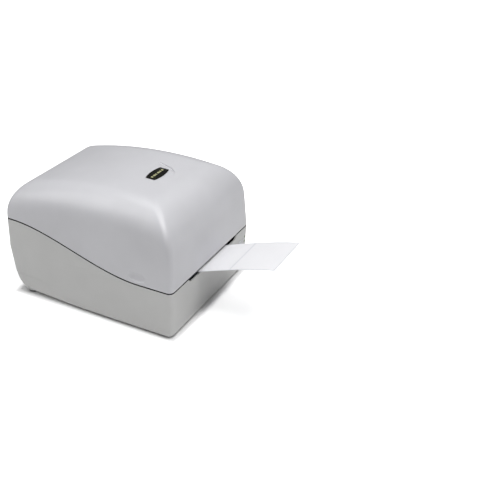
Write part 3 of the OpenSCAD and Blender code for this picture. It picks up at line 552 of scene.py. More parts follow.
def rubber():
    """Soft black rubber with a trace of dust."""
    mat, tree, shader = material("soft_rubber", (0.02, 0.02, 0.021), 0.75)
    dust = add_noise(tree, 60, 5, 0.7)
    add_ramp(tree, shader, dust.outputs["Fac"], [(0.45, (0.016, 0.016, 0.017)), (0.8, (0.05, 0.05, 0.05))])
    fine = add_noise(tree, 1300, 2)
    add_bump(tree, shader, fine.outputs["Fac"], 0.5, 0.00008)
    return mat


def lens(name, color):
    """Tinted clear plastic over a light guide."""
    mat, tree, shader = material(name, color, 0.18)
    shader.inputs["Transmission Weight"].default_value = 0.25
    shader.inputs["Coat Weight"].default_value = 0.5
    cloud = add_noise(tree, 300, 2)
    add_ramp(tree, shader, cloud.outputs["Fac"], [(0.3, tuple(c * 0.8 for c in color)), (0.7, color)])
    return mat


ROLL_AT, SUPPLY_AT, TAKEUP_AT = (45, 76), (-25, 148), (-88, 150)
CASE_WHITE = plastic("lid_plastic", (0.62, 0.62, 0.645), 0.38, coat=0.35)
CASE_GREY = plastic("base_plastic", (0.60, 0.60, 0.59), 0.42)
RIBBON = wound("ribbon_film", (0.025, 0.025, 0.028), (0.006, 0.006, 0.007), 0.22, 0.12, SUPPLY_AT)
# Painted shade: near-black plastic on the rim faces, where the parting line's gap is in shadow
RIM_PAINTED_SHADE = plastic("rim_seal", (0.02, 0.02, 0.021), 0.8)
SLOTS = {
    "case_white": CASE_WHITE,
    "case_grey": CASE_GREY,
    "dark_plastic": plastic("tray_plastic", (0.035, 0.037, 0.04), 0.5, 0.0001, 0.12),
    "zinc_steel": metal("zinc_sheet", (0.56, 0.57, 0.58), 0.36, (1, 1, 1), 90),
    "bright_steel": metal("ground_steel", (0.68, 0.68, 0.69), 0.18, (0.4, 30, 30), 90),
    "screw_steel": metal("screw_steel", (0.42, 0.42, 0.43), 0.3, (1, 1, 1), 300),
    "blued_steel": metal("blued_blade", (0.24, 0.25, 0.28), 0.3, (1, 30, 1), 60),
    "aluminium": metal("cast_aluminium", (0.66, 0.67, 0.68), 0.42, (1, 1, 1), 160),
    "head_ceramic": plastic("head_ceramic", (0.55, 0.5, 0.4), 0.3, 0.00003, 0.06),
    "rubber_black": rubber(),
    "gear_nylon": plastic("gear_nylon", (0.72, 0.7, 0.62), 0.45, 0.00004, 0.04),
    "pinion_brass": metal("pinion_brass", (0.72, 0.52, 0.22), 0.28, (1, 1, 1), 200),
    "motor_black": plastic("motor_coat", (0.02, 0.02, 0.022), 0.4, 0.0001, 0.2),
    "guide_blue": plastic("guide_plastic", (0.05, 0.16, 0.38), 0.4, 0.00008, 0.06),
    "spindle_grey": plastic("spindle_plastic", (0.3, 0.31, 0.33), 0.45, 0.00008, 0.05),
    "hub_white": plastic("hub_plastic", (0.66, 0.66, 0.63), 0.45, 0.00008, 0.04),
    "paper_white": paper("label_face", (0.86, 0.86, 0.88), 0.5),
    "liner_paper": paper("liner_face", (0.74, 0.75, 0.78), 0.3),
    "cardboard": cardboard(),
    "ribbon_black": RIBBON,
    "board_green": board(),
    "chip_black": plastic("chip_plastic", (0.025, 0.025, 0.027), 0.5, 0.0001, 0.15),
    "socket_metal": metal("socket_shell", (0.6, 0.6, 0.62), 0.25, (1, 1, 1), 120),
    "rocker_black": plastic("rocker_plastic", (0.018, 0.018, 0.02), 0.3, 0.00005, 0.1),
    "button_white": plastic("key_plastic", (0.6, 0.61, 0.62), 0.3, 0.00004),
    "lens_green": lens("status_lens", (0.16, 0.3, 0.14)),
    "badge_dark": plastic("badge_plate", (0.012, 0.012, 0.01), 0.22, 0.00003, 0.15),
    "badge_yellow": plastic("badge_ink", (0.42, 0.42, 0.24), 0.4, 0.00003, 0.05),
}
ROLLS = {
    "label_roll": wound("roll_paper", (0.84, 0.84, 0.86), (0.66, 0.66, 0.7), 0.5, 0.3, ROLL_AT),
    "takeup_ribbon": wound("takeup_film", (0.03, 0.03, 0.034), (0.008, 0.008, 0.009), 0.25, 0.12,
                           TAKEUP_AT),
}


def dress_nodes():
    """Gives every CAD node the look of its slot; the wound rolls have looks of their own."""
    for part in frame["record"]["subparts"]:
        node, slot = part["node"], part["material_slot"]
        dress(frame["nodes"][node].data, ROLLS.get(node, SLOTS[slot]))


# ---- Shells ----
# Points (y, z) of the soft step low on the sides, its depth and its run
CREASE = ((-150, 5.0), (-30, 5.2), (-6, 7.0), (8, 10), (23, 14), (41, 19), (59, 25), (77, 31), (92, 35),
          (112, 36), (150, 36))
CREASE_DEPTH, CREASE_RUN = 0.7, 1.0
GRIP_AT, GRIP_SIZE, GRIP_DEPTH, GRIP_OUT = (-88, 92.5), (15, 8), 1.9, 1.2
BADGE_AT, BADGE_W, BADGE_D, BADGE_END, BADGE_T = -56.0, 38.0, 21.0, 15.0, 0.8
BARS, BAR_PITCH, BAR_D = (3.2, 4.2, 2.6, 3.8, 3.0, 3.4), 5.2, 3.4
SCOOP, SCOOP_W, SCOOP_DEPTH = ((-78, 11), (-74, 18), (-65, 26), (-53, 30), (-41, 34), (-36, 35)), 8.0, 1.9
SLOT_LEFT, SLOT_RIGHT, SLOT_FLOOR, SLOT_TOP, SLOT_FLARE, SLOT_CORNER = -66, 74, 72, 90, 1.2, 5
BUTTON_AT, BUTTON_R, BUTTON_W, LENSES_AT, LENS_R = (88, 57), 4.4, 8, ((103, 61), (103, 53)), 1.8
THROUGH_FRONT = FRONT - 5, FRONT + 8
PORT_X, PORT_Z = (-74, 100), (32, 52)
REAR_FEET_AT, LOBE_R, LOBE_H = (96, 121), 10, 16
VENTS_AT, VENT_X, VENT_R, VENT_W = [-30 + 9 * k for k in range(7)], 42, 1.6, 36
RIBS_AT, RIB_T, RIB_DEPTH = (FRONT + 66, FRONT + 136, FRONT + 176, FRONT + 212), 1.8, 4
LIP_GAP, LIP_T, LIP_RISE, LIP_SEAT, LIP_ROOT, LIP_OVERLAP = 0.4, 1.0, 2.6, 1.4, 4.0, 0.5
# Height band about the rim, and least tilt, of the faces that take the painted shade of the parting line
RIM_SHADE_BAND, RIM_SHADE_TILT = 0.6, 0.3
PANEL_Y, PANEL_POSTS, PANEL_POST_R = FRONT + 13, ((82.5, 47.5), (104.5, 47.5)), 2.5
# Screw posts in the base: x, y, radius and top
POSTS = ([(s * 98, y, 5, z) for s in (-1, 1) for y, z in ((-116, 67.5), (110, 114.2))]
         + [(s * 88, FRONT + y, 4, 10) for s in (-1, 1) for y in (96, 174, 236)]
         + [(x, REAR - 26, 4, 32) for x in (-70, 0, 70)])
HINGE_Z, HINGE_X, HINGE_SPAN = 126.3, 80, 13.4


def crease_z(y):
    """Height of the soft step low on the sides: a Catmull-Rom curve through CREASE."""
    for i in range(1, len(CREASE) - 1):
        (ya, a), (yb, b) = CREASE[i], CREASE[min(i + 1, len(CREASE) - 1)]
        if y <= yb or i == len(CREASE) - 2:
            before, after = CREASE[i - 1], CREASE[min(i + 2, len(CREASE) - 1)]
            s = clamp01((y - ya) / (yb - ya))
            ga = (b - before[1]) / (yb - before[0]) * (yb - ya)
            gb = (after[1] - a) / max(1, after[0] - ya) * (yb - ya)
            return ((2 * s ** 3 - 3 * s * s + 1) * a + (s ** 3 - 2 * s * s + s) * ga
                    + (3 * s * s - 2 * s ** 3) * b + (s ** 3 - s * s) * gb)


def prism(name, outline, lo, hi, axis):
    """A straight prism of an outline in the other two axes, between lo and hi along axis."""
    def place(a, b, c):
        return [(c, a, b), (a, c, b), (a, b, c)][axis]
    n = len(outline)
    verts = [place(a, b, lo) for a, b in outline] + [place(a, b, hi) for a, b in outline]
    faces = [tuple(range(n)), tuple(range(2 * n - 1, n - 1, -1))]
    return mesh_object(name, verts, faces + band(0, n, n))


def ring_of(r, n=32, at=(0, 0), wide=0.0):
    """A circle, or a stadium `wide` between its ends' centres, as an outline."""
    points = []
    for i in range(n):
        a = 2 * math.pi * (i + 0.5) / n
        end = math.copysign(wide / 2, math.cos(a))
        points.append((at[0] + r * math.cos(a) + end, at[1] + r * math.sin(a)))
    return points


def box_outline(a0, a1, b0, b1):
    return [(a0, b0), (a1, b0), (a1, b1), (a0, b1)]


def ellipsoid(name, at, size, n):
    """An ellipsoid of n segments round, with its half sizes along the axes."""
    bm = bmesh.new()
    bmesh.ops.create_uvsphere(bm, u_segments=n, v_segments=n // 2, radius=1)
    mesh = bpy.data.meshes.new(name)
    bm.to_mesh(mesh)
    bm.free()
    for v in mesh.vertices:
        v.co = Vector([c * half + middle for c, half, middle in zip(v.co, size, at)]) * MM
    return new_object(name, mesh)


def join(parts, name=None):
    """One mesh object from several, keeping each one's materials."""
    bm = bmesh.new()
    mats = []
    for part in parts:
        start = len(mats)
        mats += list(part.data.materials)
        faces_before = len(bm.faces)
        bm.from_mesh(part.data)
        bm.faces.ensure_lookup_table()
        for face in bm.faces[faces_before:]:
            face.material_index += start
    mesh = bpy.data.meshes.new(name or parts[0].name)
    bm.to_mesh(mesh)
    bm.free()
    for mat in mats:
        mesh.materials.append(mat)
    for part in parts:
        bpy.data.objects.remove(part)
    return new_object(mesh.name, mesh)


def carve(obj, cutters, how="DIFFERENCE"):
    """Applies every cutter to obj as a boolean and keeps the result as plain mesh."""
    for part in [obj] + cutters:
        face_outward(part)
    for cutter in cutters:
        mod = obj.modifiers.new("cut", "BOOLEAN")
        mod.solver = "MANIFOLD"
        mod.operation = how
        mod.object = cutter
    mesh = modified(obj)
    obj.modifiers.clear()
    obj.data = mesh
    for cutter in cutters:
        bpy.data.objects.remove(cutter)


def paint_rim_shade(piece, main, way):
    """Gives a shell its plastic, and the faces of its rim a near-black painted shade that stands in for the shadow in
    the parting line.
    """
    dress(piece.data, main, RIM_PAINTED_SHADE)
    for face in piece.data.polygons:
        x, y, z = face.center / MM
        rim = split_z(y) + way * SPLIT_GAP / 2
        facing = -way * face.normal.z
        # Faces near the rim that look across the gap get the painted shade
        face.material_index = int(facing > RIM_SHADE_TILT and abs(z - rim) < RIM_SHADE_BAND)


def lid_ribs():
    """Ribs that follow the inside of the lid from side to side."""
    ribs = join([prism("rib", box_outline(-HALF, HALF, split_z(y) + 8, TOP), y, y + RIB_T, 1)
                 for y in RIBS_AT], "lid_ribs")
    carve(ribs, [mesh_object("hollow", *skin(lid_rings(WALL + RIB_DEPTH, -2, RIB_ARCS, RIB_WALLS)))])
    carve(ribs, [mesh_object("outline", *skin(lid_rings(WALL / 2, 0, RIB_ARCS, RIB_WALLS)))], "INTERSECT")
    return ribs


def base_lugs():
    """The lobes over the rear feet, the screw posts and the two posts behind the key panel."""
    foot_x, foot_y = REAR_FEET_AT
    lobes = join([prism("lobe", ring_of(LOBE_R, 64, (s * foot_x, foot_y)), FOOT, FOOT + LOBE_H, 2)
                  for s in (-1, 1)])
    carve(lobes, [mesh_object("hollow", *skin(base_rings(WALL / 2, FOOT + FLOOR_T / 2, 2)))])
    posts = join([prism("post", ring_of(r, 28, (x, y)), FOOT + 1, top, 2) for x, y, r, top in POSTS])
    carve(posts, [mesh_object("inside", *skin(base_rings(WALL / 2, FOOT + 1, 0)))], "INTERSECT")
    parts = [lobes, posts]
    for place in PANEL_POSTS:
        parts.append(prism("post", ring_of(PANEL_POST_R, 24, place), FRONT + WALL / 2 + 2, PANEL_Y, 1))
    return parts


def rim_lip():
    """The thin inner lip of the base that stands up behind the parting line, open along the rear."""
    near, far = WALL + LIP_GAP, WALL + LIP_GAP + LIP_T
    within = WALL - LIP_OVERLAP
    section = ((within, -LIP_ROOT), (within, -LIP_SEAT), (near, -LIP_SEAT), (near, LIP_RISE),
               (far, LIP_RISE), (far, 1 - LIP_ROOT))
    rings = [base_ring(lambda y, rise=rise: split_z(y) + rise, t) for t, rise in section]
    n, count = len(rings[0]), len(rings)
    faces = []
    for k in range(count):
        faces += band(k * n, (k + 1) % count * n, n)
    lip = mesh_object("rim_lip", [p for ring in rings for p in ring], faces)
    carve(lip, [prism("rear", box_outline(-HALF + 9, HALF - 9, REAR - 26, REAR + 5), SPLIT_LOW, TOP, 2)])
    return lip


def hinge_notches(z0, z1):
    """Cutters for the notches round the hinge barrels in the rear wall, from z0 up to z1."""
    return [prism("notch", box_outline(REAR - 5, REAR + 5, z0, z1), s * HINGE_X - HINGE_SPAN,
                  s * HINGE_X + HINGE_SPAN, 0) for s in (-1, 1)]


def lid_shell():
    """The lid's case shell with its ribs, grip dishes, thumb scoop and hinge notches."""
    outer = lid_rings(0, SPLIT_GAP / 2 + RIM_ROUND, ARCS, WALLS)
    inner = lid_rings(WALL, SPLIT_GAP / 2, LID_INNER_ARCS, LID_INNER_WALLS)
    piece = mesh_object("lid_skin", *skin(outer + rim_rings(outer[-1], -1) + inner[::-1]))
    cutters = hinge_notches(HINGE_Z - 20, HINGE_Z + 4.8)
    for s in (-1, 1):
        reach = half_w(GRIP_AT[1]) + GRIP_OUT
        cutters.append(ellipsoid("dish", (s * reach, *GRIP_AT), (GRIP_DEPTH + GRIP_OUT, *GRIP_SIZE), 96))
    cutters.append(scoop())
    carve(piece, [lid_ribs()], "UNION")
    carve(piece, cutters)
    smooth_shade(piece, 24)
    paint_rim_shade(piece, CASE_WHITE, 1)
    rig.replaces(piece, "lid_shell")
    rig.ride(piece, "lid")
    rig.slot(piece, "case_white")


def base_shell():
    """The base's case shell with its soft step, posts, inner lip, slot, ports, key hole and vents."""
    rim = -SPLIT_GAP / 2 - RIM_ROUND
    outer = [base_ring(lambda y, s=k / WALLS: mix(split_z(y) + rim, crease_z(y), s), 0)
             for k in range(WALLS)]
    for s in (0, 0.25, 0.5, 0.75, 1):
        outer.append(base_ring(lambda y, s=s: crease_z(y) - CREASE_RUN * s, CREASE_DEPTH * smooth(s)))
    for k in range(SOLES - 1, -1, -1):
        s = 1 - math.cos(math.pi / 2 * k / SOLES)
        outer.append(base_ring(lambda y, s=s: mix(FOOT, crease_z(y) - CREASE_RUN, s), CREASE_DEPTH))
    inner = base_rings(WALL, FOOT + FLOOR_T, -SPLIT_GAP / 2)
    piece = mesh_object("base_skin", *skin(outer[::-1] + rim_rings(outer[0], 1) + inner))
    carve(piece, base_lugs() + [rim_lip()], "UNION")
    cutters = hinge_notches(HINGE_Z - 4.5, HINGE_Z + 5)
    for y in VENTS_AT:
        for x in (-VENT_X, VENT_X):
            stadium = ring_of(VENT_R, 20, (x, y), VENT_W)
            cutters.append(prism("vent", stadium, FOOT - 1, FOOT + FLOOR_T + 1, 2))
    left, right = SLOT_LEFT - SLOT_FLARE, SLOT_RIGHT + SLOT_FLARE
    slot = [(left, SLOT_TOP), (left, SPLIT_LOW - 2), (SLOT_LEFT + SLOT_CORNER, SLOT_FLOOR),
            (SLOT_RIGHT - SLOT_CORNER, SLOT_FLOOR), (right, SPLIT_LOW - 2), (right, SLOT_TOP)]
    cutters.append(prism("slot", slot, *THROUGH_FRONT, 1))
    cutters.append(prism("ports", box_outline(*PORT_X, *PORT_Z), REAR - 9, REAR + 5, 1))
    cutters.append(prism("key_hole", ring_of(BUTTON_R, 40, BUTTON_AT, BUTTON_W), *THROUGH_FRONT, 1))
    for place in LENSES_AT:
        cutters.append(prism("lens_hole", ring_of(LENS_R, 24, place), *THROUGH_FRONT, 1))
    carve(piece, cutters)
    smooth_shade(piece, 24)
    paint_rim_shade(piece, CASE_GREY, -1)
    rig.replaces(piece, "base_shell")
    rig.ride(piece, "base")
    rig.slot(piece, "case_grey")


# ---- Label web ----
WEB_Z, EXIT_Y, WEB_END, WEB_T = 76.3, -140.0, -264.0, 0.2
WEB_LIFT, WEB_BEND, LINER_T, COLUMNS = 38.0, 1.2, WEB_T * 0.6, 12
RIDGE_Y, LABELS, LABEL_LEN, LABEL_GAP, LABEL_W, LINER_W, LABEL_ROUND = -72.0, 4, 67.0, 3.0, 80.0, 84.0, 1.6
ROLL_R = 55.0
# The web leaves the roll along a tangent that meets the level part at RIDGE_Y
REACH = math.hypot(ROLL_AT[0] - RIDGE_Y, ROLL_AT[1] - WEB_Z)
TANGENT = math.asin((ROLL_R + 0.3) / REACH)
WEB_START = ROLL_AT[0] - (ROLL_R + 0.3) * math.sin(TANGENT)


def web_at(y):
    """Height of the web's underside along its path from the roll to its free end."""
    if y > RIDGE_Y:
        return WEB_Z + (y - RIDGE_Y) * math.tan(TANGENT)
    if y > EXIT_Y:
        return WEB_Z
    return WEB_Z + WEB_LIFT * (1 - max(0.0, 1 - (EXIT_Y - y) / (EXIT_Y - WEB_END)) ** WEB_BEND)


def strip(name, y0, y1, half, rise, thick, corner, step=1.0):
    """A closed paper strip along the web's path; its corners are rounded by `corner`."""
    count = max(2, int((y0 - y1) / step))
    rows = []
    for i in range(count + 1):
        y = mix(y0, y1, i / count)
        near = min(y0 - y, y - y1)
        w = half - corner + quarter(corner, near) if near < corner else half
        z = web_at(y) + rise
        rows.append([(w * (2 * j / COLUMNS - 1), y, z) for j in range(COLUMNS + 1)])
    verts = [p for row in rows for p in row] + [(x, y, z + thick) for row in rows for x, y, z in row]
    across = COLUMNS + 1
    n = len(rows) * across
    faces = []
    for i in range(len(rows) - 1):
        for j in range(COLUMNS):
            a = i * across + j
            faces.append((a, a + 1, a + across + 1, a + across))
            faces.append((n + a, n + a + across, n + a + across + 1, n + a + 1))
        for j in (0, COLUMNS):
            a = i * across + j
            side = (a, a + across, n + a + across, n + a)
            faces.append(side if j == 0 else side[::-1])
    for i in (0, len(rows) - 1):
        for j in range(COLUMNS):
            a = i * across + j
            end = (a, n + a, n + a + 1, a + 1)
            faces.append(end if i == 0 else end[::-1])
    return mesh_object(name, verts, faces)


def label_web():
    """The backing paper from the roll to its free end, and the labels on it."""
    liner = strip("liner_strip", WEB_START, WEB_END, LINER_W / 2, 0, LINER_T, 0.05)
    dress(liner.data, SLOTS["liner_paper"])
    smooth_shade(liner, 30)
    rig.replaces(liner, "label_liner")
    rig.ride(liner, "base")
    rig.slot(liner, "liner_paper")
    labels = []
    for k in range(LABELS):
        lead = WEB_END + LABEL_GAP / 2 + k * (LABEL_LEN + LABEL_GAP)
        labels.append(strip(f"label_{k}", min(lead + LABEL_LEN, WEB_START), lead, LABEL_W / 2, LINER_T,
                            WEB_T, LABEL_ROUND, 0.8))
    piece = join(labels, "label_sheets")
    dress(piece.data, SLOTS["paper_white"])
    smooth_shade(piece, 30)
    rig.replaces(piece, "labels")
    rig.ride(piece, "base")
    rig.slot(piece, "paper_white")


# ---- Scoop and badge ----
SCOOP_STEPS, BADGE_STEPS, BADGE_LIFT, BAR_START, BAR_ROUND, BAR_HALF_T = 30, 18, 0.08, -15, 0.4, 0.13


def scoop():
    """Cutter for the shallow thumb scoop beside the badge: a wedge whose depth fades at both ends."""
    rows = []
    for i in range(SCOOP_STEPS + 1):
        at = i / SCOOP_STEPS * (len(SCOOP) - 1)
        k = min(int(at), len(SCOOP) - 2)
        y, edge = (mix(SCOOP[k][c], SCOOP[k + 1][c], at - k) for c in (0, 1))
        deep = 0.02 + SCOOP_DEPTH * math.sin(math.pi * i / SCOOP_STEPS) ** 0.7
        c = crown_z(y)
        rows.append([(edge - SCOOP_W, y, c + 2), (edge - SCOOP_W, y, c),
                     (edge - SCOOP_W * 0.5, y, c - deep * 0.35), (edge - SCOOP_W * 0.1, y, c - deep),
                     (edge, y, c - deep * 0.8), (edge + 0.6, y, c + 2)])
    n = len(rows[0])
    verts = [p for row in rows for p in row]
    faces = [tuple(range(n)), tuple(len(verts) - n + i for i in range(n))[::-1]]
    for k in range(len(rows) - 1):
        faces += band(k * n, (k + 1) * n, n)
    return mesh_object("scoop", verts, faces)


def barrel_ring(inset, z):
    """The badge outline, with bowed long edges and small round corners, as a ring at height z."""
    bow = (BADGE_D - BADGE_END) / 2
    r = (BADGE_W ** 2 / 4 + bow * bow) / (2 * bow)
    half = [(x, -(math.sqrt(r * r - x * x) - r + BADGE_D / 2 - inset), z)
            for x in [mix(0.2, BADGE_W / 2 - 1.2, i / BADGE_STEPS) for i in range(BADGE_STEPS + 1)]]
    end = BADGE_END / 2 - inset
    half += [(BADGE_W / 2 - inset - 0.35, -end + 0.15, z), (BADGE_W / 2 - inset, -end + 0.8, z)]
    return full_ring(half + [(x, -y, z) for x, y, z in reversed(half)])


def onto_crown(piece):
    """Moves a piece drawn at the origin onto the lid's crown, tilted to lie along it."""
    tilt = Matrix.Rotation(math.atan2(CROWN_Y - BADGE_AT, CROWN_R), 4, "X")
    spot = Vector((0, BADGE_AT, crown_z(BADGE_AT) + BADGE_LIFT)) * MM
    piece.data.transform(Matrix.Translation(spot) @ tilt)


def rounded_box(x, half_x, half_y, r, steps=3):
    """A rectangle about (x, 0) with corners of radius r, as an outline."""
    points = []
    for corner, (sx, sy) in enumerate(((1, 1), (-1, 1), (-1, -1), (1, -1))):
        for k in range(steps + 1):
            a = math.pi / 2 * (corner + k / steps)
            points.append((x + sx * (half_x - r) + r * math.cos(a), sy * (half_y - r) + r * math.sin(a)))
    return points


def badge():
    """The dark plate on the crown and its row of plain bars, which stand for lettering."""
    t = BADGE_T
    profile = ((0.15, 0), (0, 0.12), (0, t - 0.25), (0.08, t - 0.07), (0.25, t), (0.8, t), (0.95, t - 0.12))
    plate = mesh_object("badge_plate", *skin([barrel_ring(inset, z) for inset, z in profile]))
    face_outward(plate)
    bars = []
    for i, wide in enumerate(BARS):
        outline = rounded_box(BAR_START + BAR_PITCH * i + wide / 2, wide / 2, BAR_D / 2, BAR_ROUND)
        bars.append(prism("bar", outline, t - BAR_HALF_T, t + BAR_HALF_T, 2))
    marks = join(bars, "badge_bars")
    for piece, node, slot in ((plate, "badge", "badge_dark"), (marks, "badge_marks", "badge_yellow")):
        onto_crown(piece)
        smooth_shade(piece, 40)
        dress(piece.data, SLOTS[slot])
        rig.replaces(piece, node)
        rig.ride(piece, "lid")
        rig.slot(piece, slot)


# ---- What repeats: screws, coil springs and contact pins ----
HEAD_R, HEAD_H, SHANK_R = 2.8, 1.8, 1.4
HUNDREDTHS = 1e5  # hundredths of a millimetre in a metre
# Screw nodes, the body they ride and whether their heads look up (1) or down (-1) their axis
SCREWS = (("tray_screws", "base", 1), ("board_screws", "base", 1), ("chassis_screws", "base", 1),
          ("motor_screws", "base", 1), ("lid_screws", "lid", -1))
# Spring nodes, with axis, coil radius, wire radius, turns and body
SPRINGS = {"head_springs": (2, 3.6, 0.38, 6.5, "lid"), "button_spring": (1, 2.8, 0.34, 4.5, "base")}
PIN_FACE, PIN_R, PIN_LEN = REAR - 7.5, 0.45, 6
SERIAL_PINS = [(-2.5 + 2.77 * (i - 2 + 0.5 * row), 39.85 + 1.42 * (1 - 2 * row)) for row in (0, 1)
               for i in range(5 - row)]
PARALLEL_PINS = [(48 + 2.16 * (i - 8.5), 39.85 + 1.6 * side) for side in (-1, 1) for i in range(18)]


def solids_of(node):
    """Lowest and highest corner, in mm, of every separate solid in a CAD node."""
    mesh = frame["nodes"][node].data
    key = [tuple(round(c * HUNDREDTHS) for c in v.co) for v in mesh.vertices]
    parent = {k: k for k in key}

    def root(k):
        while parent[k] != k:
            parent[k] = parent[parent[k]]
            k = parent[k]
        return k
    for face in mesh.polygons:
        first, *others = [key[i] for i in face.vertices]
        for k in others:
            parent[root(k)] = root(first)
    groups = {}
    for k in parent:
        groups.setdefault(root(k), []).append(k)
    boxes = []
    for solid in groups.values():
        boxes.append(tuple([pick(p[a] for p in solid) / 100 for a in range(3)] for pick in (min, max)))
    return sorted(boxes)


class Tree:
    """A geometry tree with named inputs, that ends in Realize Instances and Set Material."""
    def __init__(self, name, sizes):
        self.group = bpy.data.node_groups.new(name, "GeometryNodeTree")
        face = self.group.interface
        face.new_socket(name="Geometry", in_out="INPUT", socket_type="NodeSocketGeometry")
        self.ids = {}
        for label, value in sizes.items():
            kind = {bpy.types.Object: "NodeSocketObject", bpy.types.Material: "NodeSocketMaterial",
                    int: "NodeSocketInt", float: "NodeSocketFloat"}[type(value)]
            self.ids[label] = face.new_socket(name=label, in_out="INPUT", socket_type=kind).identifier
        face.new_socket(name="Geometry", in_out="OUTPUT", socket_type="NodeSocketGeometry")
        self.sizes = sizes
        self.inlet = self.group.nodes.new("NodeGroupInput")

    def node(self, kind, **links):
        node = self.group.nodes.new(kind)
        for label, value in links.items():
            socket = node.inputs[label.replace("_", " ")]
            if isinstance(value, bpy.types.NodeSocket):
                self.group.links.new(value, socket)
            else:
                socket.default_value = value
        return node

    def size(self, label):
        return self.inlet.outputs[label]

    def attribute(self, name):
        node = self.node("GeometryNodeInputNamedAttribute")
        node.data_type = "FLOAT_VECTOR"
        node.inputs["Name"].default_value = name
        return node.outputs["Attribute"]

    def scatter(self, item):
        euler = self.node("FunctionNodeEulerToRotation", Euler=self.attribute("turn"))
        return self.node("GeometryNodeInstanceOnPoints", Points=self.size("Geometry"), Instance=item,
                         Rotation=euler.outputs[0], Scale=self.attribute("stretch")).outputs[0]

    def make(self, name, geometry, places):
        """Runs the tree on one point per place (spot, turn, stretch) and returns a plain mesh object."""
        realize = self.node("GeometryNodeRealizeInstances", Geometry=geometry)
        finish = self.node("GeometryNodeSetMaterial", Geometry=realize.outputs[0],
                           Material=self.size("Finish"))
        outlet = self.group.nodes.new("NodeGroupOutput")
        self.group.links.new(finish.outputs[0], outlet.inputs[0])
        points = mesh_object(name, [spot for spot, turn, stretch in places], [])
        for label, column in (("turn", 1), ("stretch", 2)):
            layer = points.data.attributes.new(label, "FLOAT_VECTOR", "POINT")
            for value, place in zip(layer.data, places):
                value.vector = place[column]
        mod = points.modifiers.new("tree", "NODES")
        mod.node_group = self.group
        for label, value in self.sizes.items():
            mod[self.ids[label]] = value
        points.update_tag()
        mesh = modified(points)
        bpy.data.objects.remove(points)
        return new_object(name, mesh)


def place_piece(piece, body, slot, *nodes):
    """Has a piece replace its CAD nodes, if any, ride its body and take its slot."""
    if nodes:
        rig.replaces(piece, *nodes)
    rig.ride(piece, body)
    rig.slot(piece, slot)


def screw_head():
    """A pan head with a cross recess; its seat is at z = 0."""
    profile = [(HEAD_R - 0.25, 0), (HEAD_R, 0.25), (HEAD_R, 0.9), (HEAD_R - 0.25, 1.3), (HEAD_R - 0.8, 1.6),
               (HEAD_R - 1.6, HEAD_H)]
    n = 32
    angles = [math.pi * (i + 0.5) / n - math.pi / 2 for i in range(n)]
    rings = [full_ring([(r * math.cos(a), r * math.sin(a), z) for a in angles]) for r, z in profile]
    head = mesh_object("screw_head", *skin(rings))
    carve(head, [prism("recess", box_outline(-a, a, -b, b), 0.8, HEAD_H + 1, 2)
                 for a, b in ((1.5, 0.32), (0.32, 1.5))])
    return head


def screws():
    """Cross-recessed heads and shanks where the CAD has its plain screws."""
    head = screw_head()
    for node, body, way in SCREWS:
        places = []
        for lo, hi in solids_of(node):
            spot = [(a + b) / 2 for a, b in zip(lo, hi)]
            axis = max(range(3), key=lambda i: abs(hi[i] - lo[i] - 2 * HEAD_R))
            spot[axis] = hi[axis] - HEAD_H if way > 0 else lo[axis] + HEAD_H
            turn = [(0, math.pi / 2, 0), (-math.pi / 2, 0, 0), (0 if way > 0 else math.pi, 0, 0)][axis]
            places.append((spot, turn, (1, 1, hi[axis] - lo[axis] - HEAD_H)))
        heads = Tree("screw_heads", {"Head": head, "Finish": SLOTS["screw_steel"]})
        item = heads.node("GeometryNodeObjectInfo", Object=heads.size("Head")).outputs["Geometry"]
        shanks = Tree("screw_shanks", {"Radius": SHANK_R * MM, "Length": MM,
                                       "Finish": SLOTS["screw_steel"]})
        rod = shanks.node("GeometryNodeMeshCylinder", Vertices=20, Radius=shanks.size("Radius"),
                          Depth=shanks.size("Length")).outputs["Mesh"]
        low_rod = shanks.node("GeometryNodeTransform", Geometry=rod, Translation=(0, 0, -MM / 2)).outputs[0]
        tops = [(spot, turn, (1, 1, 1)) for spot, turn, stretch in places]
        piece = join([heads.make("heads", heads.scatter(item), tops),
                      shanks.make("shanks", shanks.scatter(low_rod), places)], node + "_fine")
        smooth_shade(piece, 35)
        place_piece(piece, body, "screw_steel", node)
    bpy.data.objects.remove(head)


def springs():
    """Round-wire coil springs under the print head's beam and behind the feed key."""
    for node, (axis, radius, wire, turns, body) in SPRINGS.items():
        places = []
        for lo, hi in solids_of(node):
            spot = [(a + b) / 2 for a, b in zip(lo, hi)]
            spot[axis] = lo[axis] + wire
            tall = hi[axis] - lo[axis] - 2 * wire
            places.append((spot, (0, 0, 0) if axis == 2 else (-math.pi / 2, 0, 0), (1, 1, 1)))
        coil = Tree("coil", {"Turns": float(turns), "Radius": radius * MM, "Height": tall * MM,
                             "Wire Radius": wire * MM, "Finish": SLOTS["bright_steel"]})
        helix = coil.node("GeometryNodeCurveSpiral", Resolution=28, Rotations=coil.size("Turns"),
                          Start_Radius=coil.size("Radius"), End_Radius=coil.size("Radius"),
                          Height=coil.size("Height")).outputs[0]
        section = coil.node("GeometryNodeCurvePrimitiveCircle", Resolution=10,
                            Radius=coil.size("Wire Radius")).outputs["Curve"]
        wire_mesh = coil.node("GeometryNodeCurveToMesh", Curve=helix, Profile_Curve=section)
        wire_mesh.inputs["Fill Caps"].default_value = True
        piece = coil.make(node + "_fine", coil.scatter(wire_mesh.outputs[0]), places)
        face_outward(piece)
        smooth_shade(piece, 60)
        place_piece(piece, body, "zinc_steel", node)


def pins():
    """Contacts inside the two wide sockets at the rear."""
    tree = Tree("contact_pins", {"Radius": PIN_R * MM, "Length": PIN_LEN * MM,
                                 "Finish": SLOTS["pinion_brass"]})
    rod = tree.node("GeometryNodeMeshCylinder", Vertices=12, Radius=tree.size("Radius"),
                    Depth=tree.size("Length")).outputs["Mesh"]
    places = [((x, PIN_FACE, z), (math.pi / 2, 0, 0), (1, 1, 1)) for x, z in SERIAL_PINS + PARALLEL_PINS]
    piece = tree.make("contact_pins", tree.scatter(rod), places)
    smooth_shade(piece, 50)
    place_piece(piece, "base", "pinion_brass")


